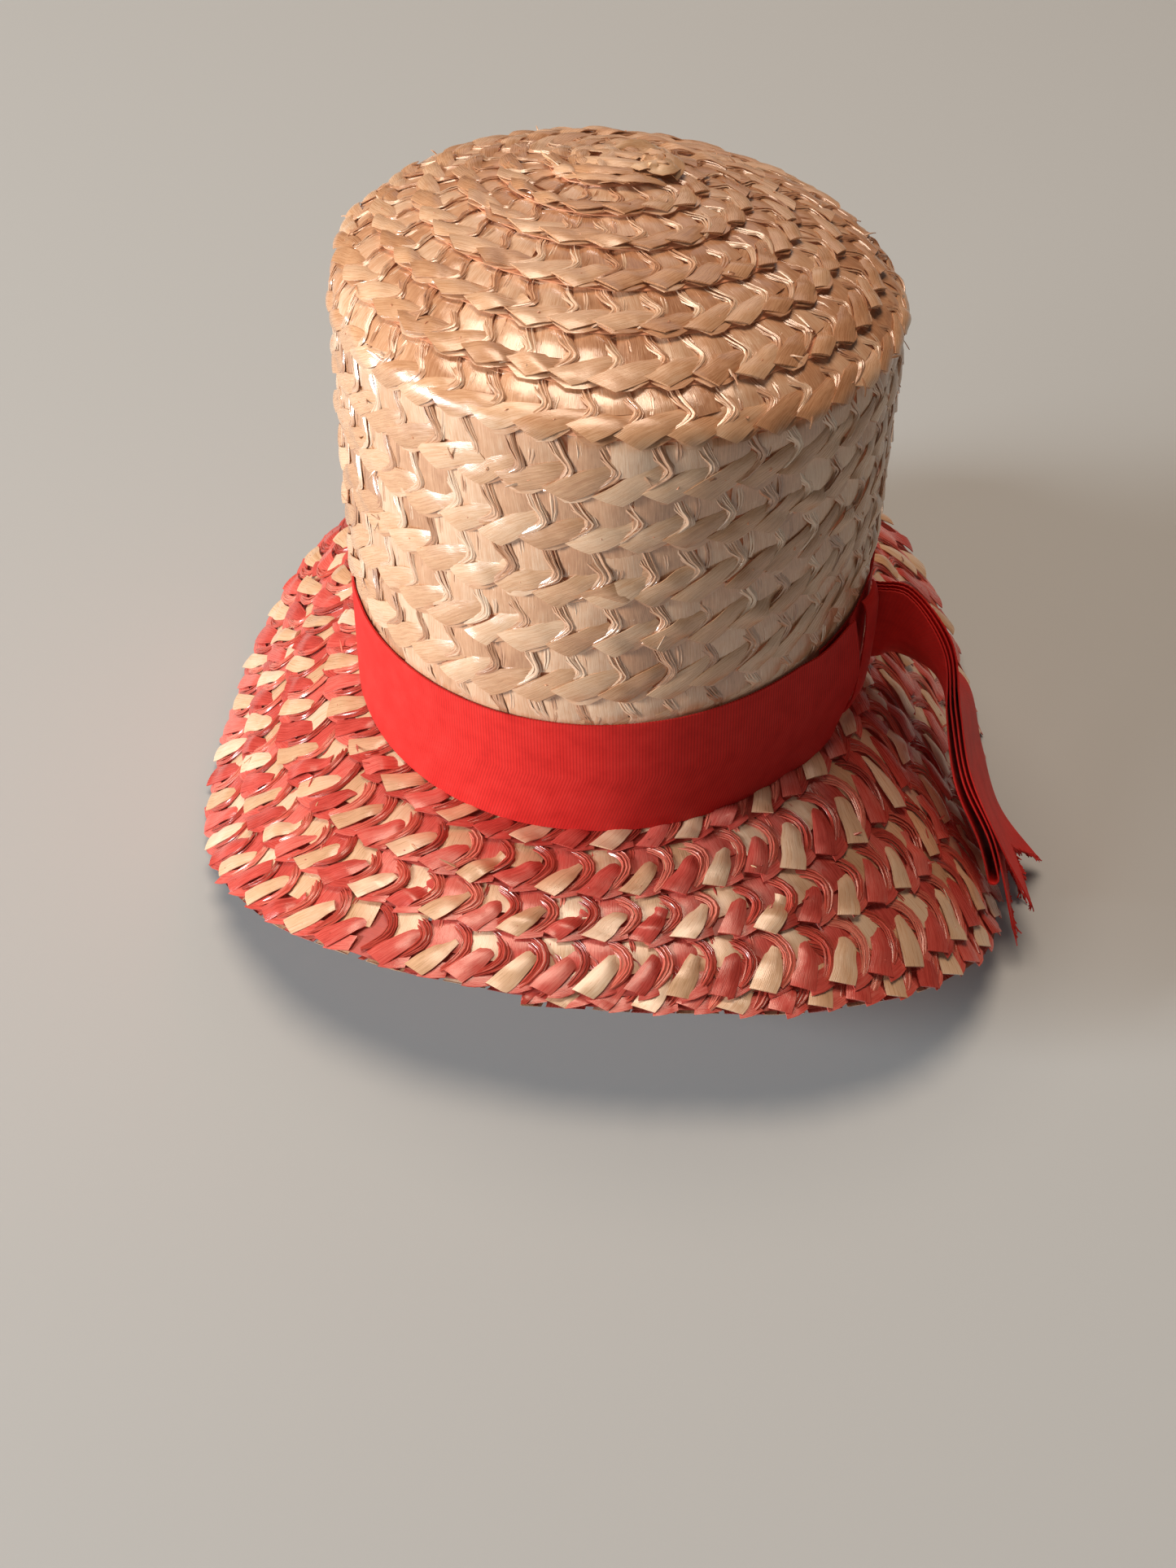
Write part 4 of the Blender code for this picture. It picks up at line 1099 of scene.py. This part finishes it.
# columns: piece, CAD node, place, cells across, waviness, how it is held, what it lies on
RIBBONS = [
    ("ribbon_band", "hat_band", band_place, 8, 0.00012, "stretched", ["crown_plait_lower"]),
    ("ribbon_knot", "bow_knot", knot_place, 8, 0.0, "folded", ["ribbon_band"]),
    ("ribbon_tail_outer", "tail_outer", tail_place("tail_outer", RIBBON_PATH), 10, 0.00015, "draped",
     ["ribbon_knot"]),
    ("ribbon_tail_inner", "tail_inner", tail_place("tail_inner", INNER_PATH), 10, 0.00015, "draped",
     ["ribbon_knot"]),
    ("ribbon_loop", "bow_loop", loop_place, 8, 0.0, "folded", ["ribbon_knot"]),
]


def cloth_area(place):
    """Area of the middle of a ribbon, in square metres."""
    U, V = np.meshgrid(np.linspace(0, 1, 400), np.linspace(0, 1, 12), indexing="ij")
    p = place(U, V)
    a, b, c, d = p[:-1, :-1], p[1:, :-1], p[1:, 1:], p[:-1, 1:]
    tri = lambda x, y, z: np.linalg.norm(np.cross(y - x, z - x), axis=-1).sum() / 2
    return float(tri(a, b, c) + tri(a, c, d))


def longest_run(place):
    """Length of the longest line along a ribbon, in metres."""
    U, V = np.meshgrid(np.linspace(0, 1, 2000), np.linspace(0, 1, 21), indexing="ij")
    return float(np.linalg.norm(np.diff(place(U, V), axis=0), axis=-1).sum(axis=0).max())


for name, cad, place, across, wave, held, on in RIBBONS:
    if name == "ribbon_band":
        obj, length, width = grosgrain(name, place, across, RIBBON, wave=wave)
    else:
        obj, length, width = grosgrain(name, place, across, BOW, wave=wave, relief=0.00005, thick=0.00055)
    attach(obj, "root")
    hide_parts(cad)
    area = cloth_area(place)
    print("ribbon", name, "length", round(length, 4), "width", round(width, 4), "area", round(area, 6))
    ends = []
    if "tail" in name:
        ends = [frayed(name.replace("ribbon", "frayed"), place, 150, len(made))]
        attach(ends[0], "root")
    if "tail" in name:                         # a tail's strip is as long as its longest edge, before the notch is cut; that length is worked out here and not kept
        longest_run(place)
    made += [obj] + ends

# ---------------------------------------------------------------- floor, light and camera
bpy.ops.mesh.primitive_plane_add(size=12.0, location=(0, 0, 0))
floor = bpy.context.object
floor.name = "floor"
floor_mat = bpy.data.materials.new("floor")
floor_mat.use_nodes = True
tree = floor_mat.node_tree
shader = tree.nodes["Principled BSDF"]
cloud = node(tree, "ShaderNodeTexNoise", Scale=2.0, Detail=2.0)
tree.links.new(ramp(tree, cloud.outputs["Fac"], [(0.3, (0.490, 0.538, 0.560)), (0.7, (0.505, 0.553, 0.575))]),
               shader.inputs["Base Color"])
shader.inputs["Roughness"].default_value = 0.85
floor.data.materials.append(floor_mat)

scene = bpy.context.scene
world = bpy.data.worlds.new("studio")
scene.world = world
world.use_nodes = True
world.node_tree.nodes["Background"].inputs["Color"].default_value = (1.0, 0.95, 0.93, 1)
world.node_tree.nodes["Background"].inputs["Strength"].default_value = 0.03


def softbox(name, at, aim, size, power, colour):
    lamp = bpy.data.lights.new(name, "AREA")
    lamp.shape = "DISK"
    lamp.size = size
    lamp.energy = power
    lamp.color = colour
    obj = bpy.data.objects.new(name, lamp)
    scene.collection.objects.link(obj)
    eye, to = np.array(at, float), np.array(aim, float)
    back = (eye - to) / np.linalg.norm(eye - to)
    right = np.cross([0, 0, 1.0], back)
    right /= np.linalg.norm(right)
    up = np.cross(back, right)
    m = Matrix.Identity(4)
    for k in range(3):
        m[k][0], m[k][1], m[k][2], m[k][3] = right[k], up[k], back[k], eye[k]
    obj.matrix_world = m
    return obj


softbox("window", (-2.80, -1.04, 0.76), (0, 0, 0.12), 0.90, 108.0, (1.0, 1.0, 0.995))
softbox("window_front", (-2.00, -1.80, 1.28), (0, 0, 0.12), 1.00, 11.0, (1.0, 0.965, 0.93))
softbox("behind", (0.10, 1.50, 0.95), (0, 0, 0.18), 0.90, 1.0, (1.0, 0.93, 0.87))
softbox("ceiling", (-0.40, 0.60, 3.28), (0, 0, 0.12), 2.00, 76.0, (1.0, 0.755, 0.575))

DISTANCE, RAISE, ROLL, AIM_X, AIM_Y = 0.70362, 0.603, 0.056, -0.006, -0.128
eye = np.array([0, -math.cos(RAISE), math.sin(RAISE)]) * DISTANCE + [0, 0, 0.05]
ahead, right = np.array([0, math.cos(RAISE), -math.sin(RAISE)]), np.array([1.0, 0, 0])
up = np.cross(right, ahead)
ahead = ahead + right * math.tan(AIM_X) + up * math.tan(AIM_Y)
ahead /= np.linalg.norm(ahead)
right = np.cross(ahead, up)
right /= np.linalg.norm(right)
up = np.cross(right, ahead)
c, s = math.cos(ROLL), math.sin(ROLL)
right, up = c * right + s * up, -s * right + c * up
eye = eye + [-CENTRE_X, -CENTRE_Y, FOOT_HEIGHT]
camera_data = bpy.data.cameras.new("camera")
camera_data.sensor_width = 36.0
camera_data.lens = 2600 / 1927 * 36.0
camera_data.clip_start = 0.01
camera = bpy.data.objects.new("camera", camera_data)
scene.collection.objects.link(camera)
m = Matrix.Identity(4)
for k in range(3):
    m[k][0], m[k][1], m[k][2], m[k][3] = right[k], up[k], -ahead[k], eye[k]
camera.matrix_world = m
scene.camera = camera
scene.view_settings.view_transform = "Standard"

for obj in made:
    obj.data.calc_loop_triangles()
    print("tris", obj.name, len(obj.data.loop_triangles))
print("tris in all", sum(len(obj.data.loop_triangles) for obj in made))
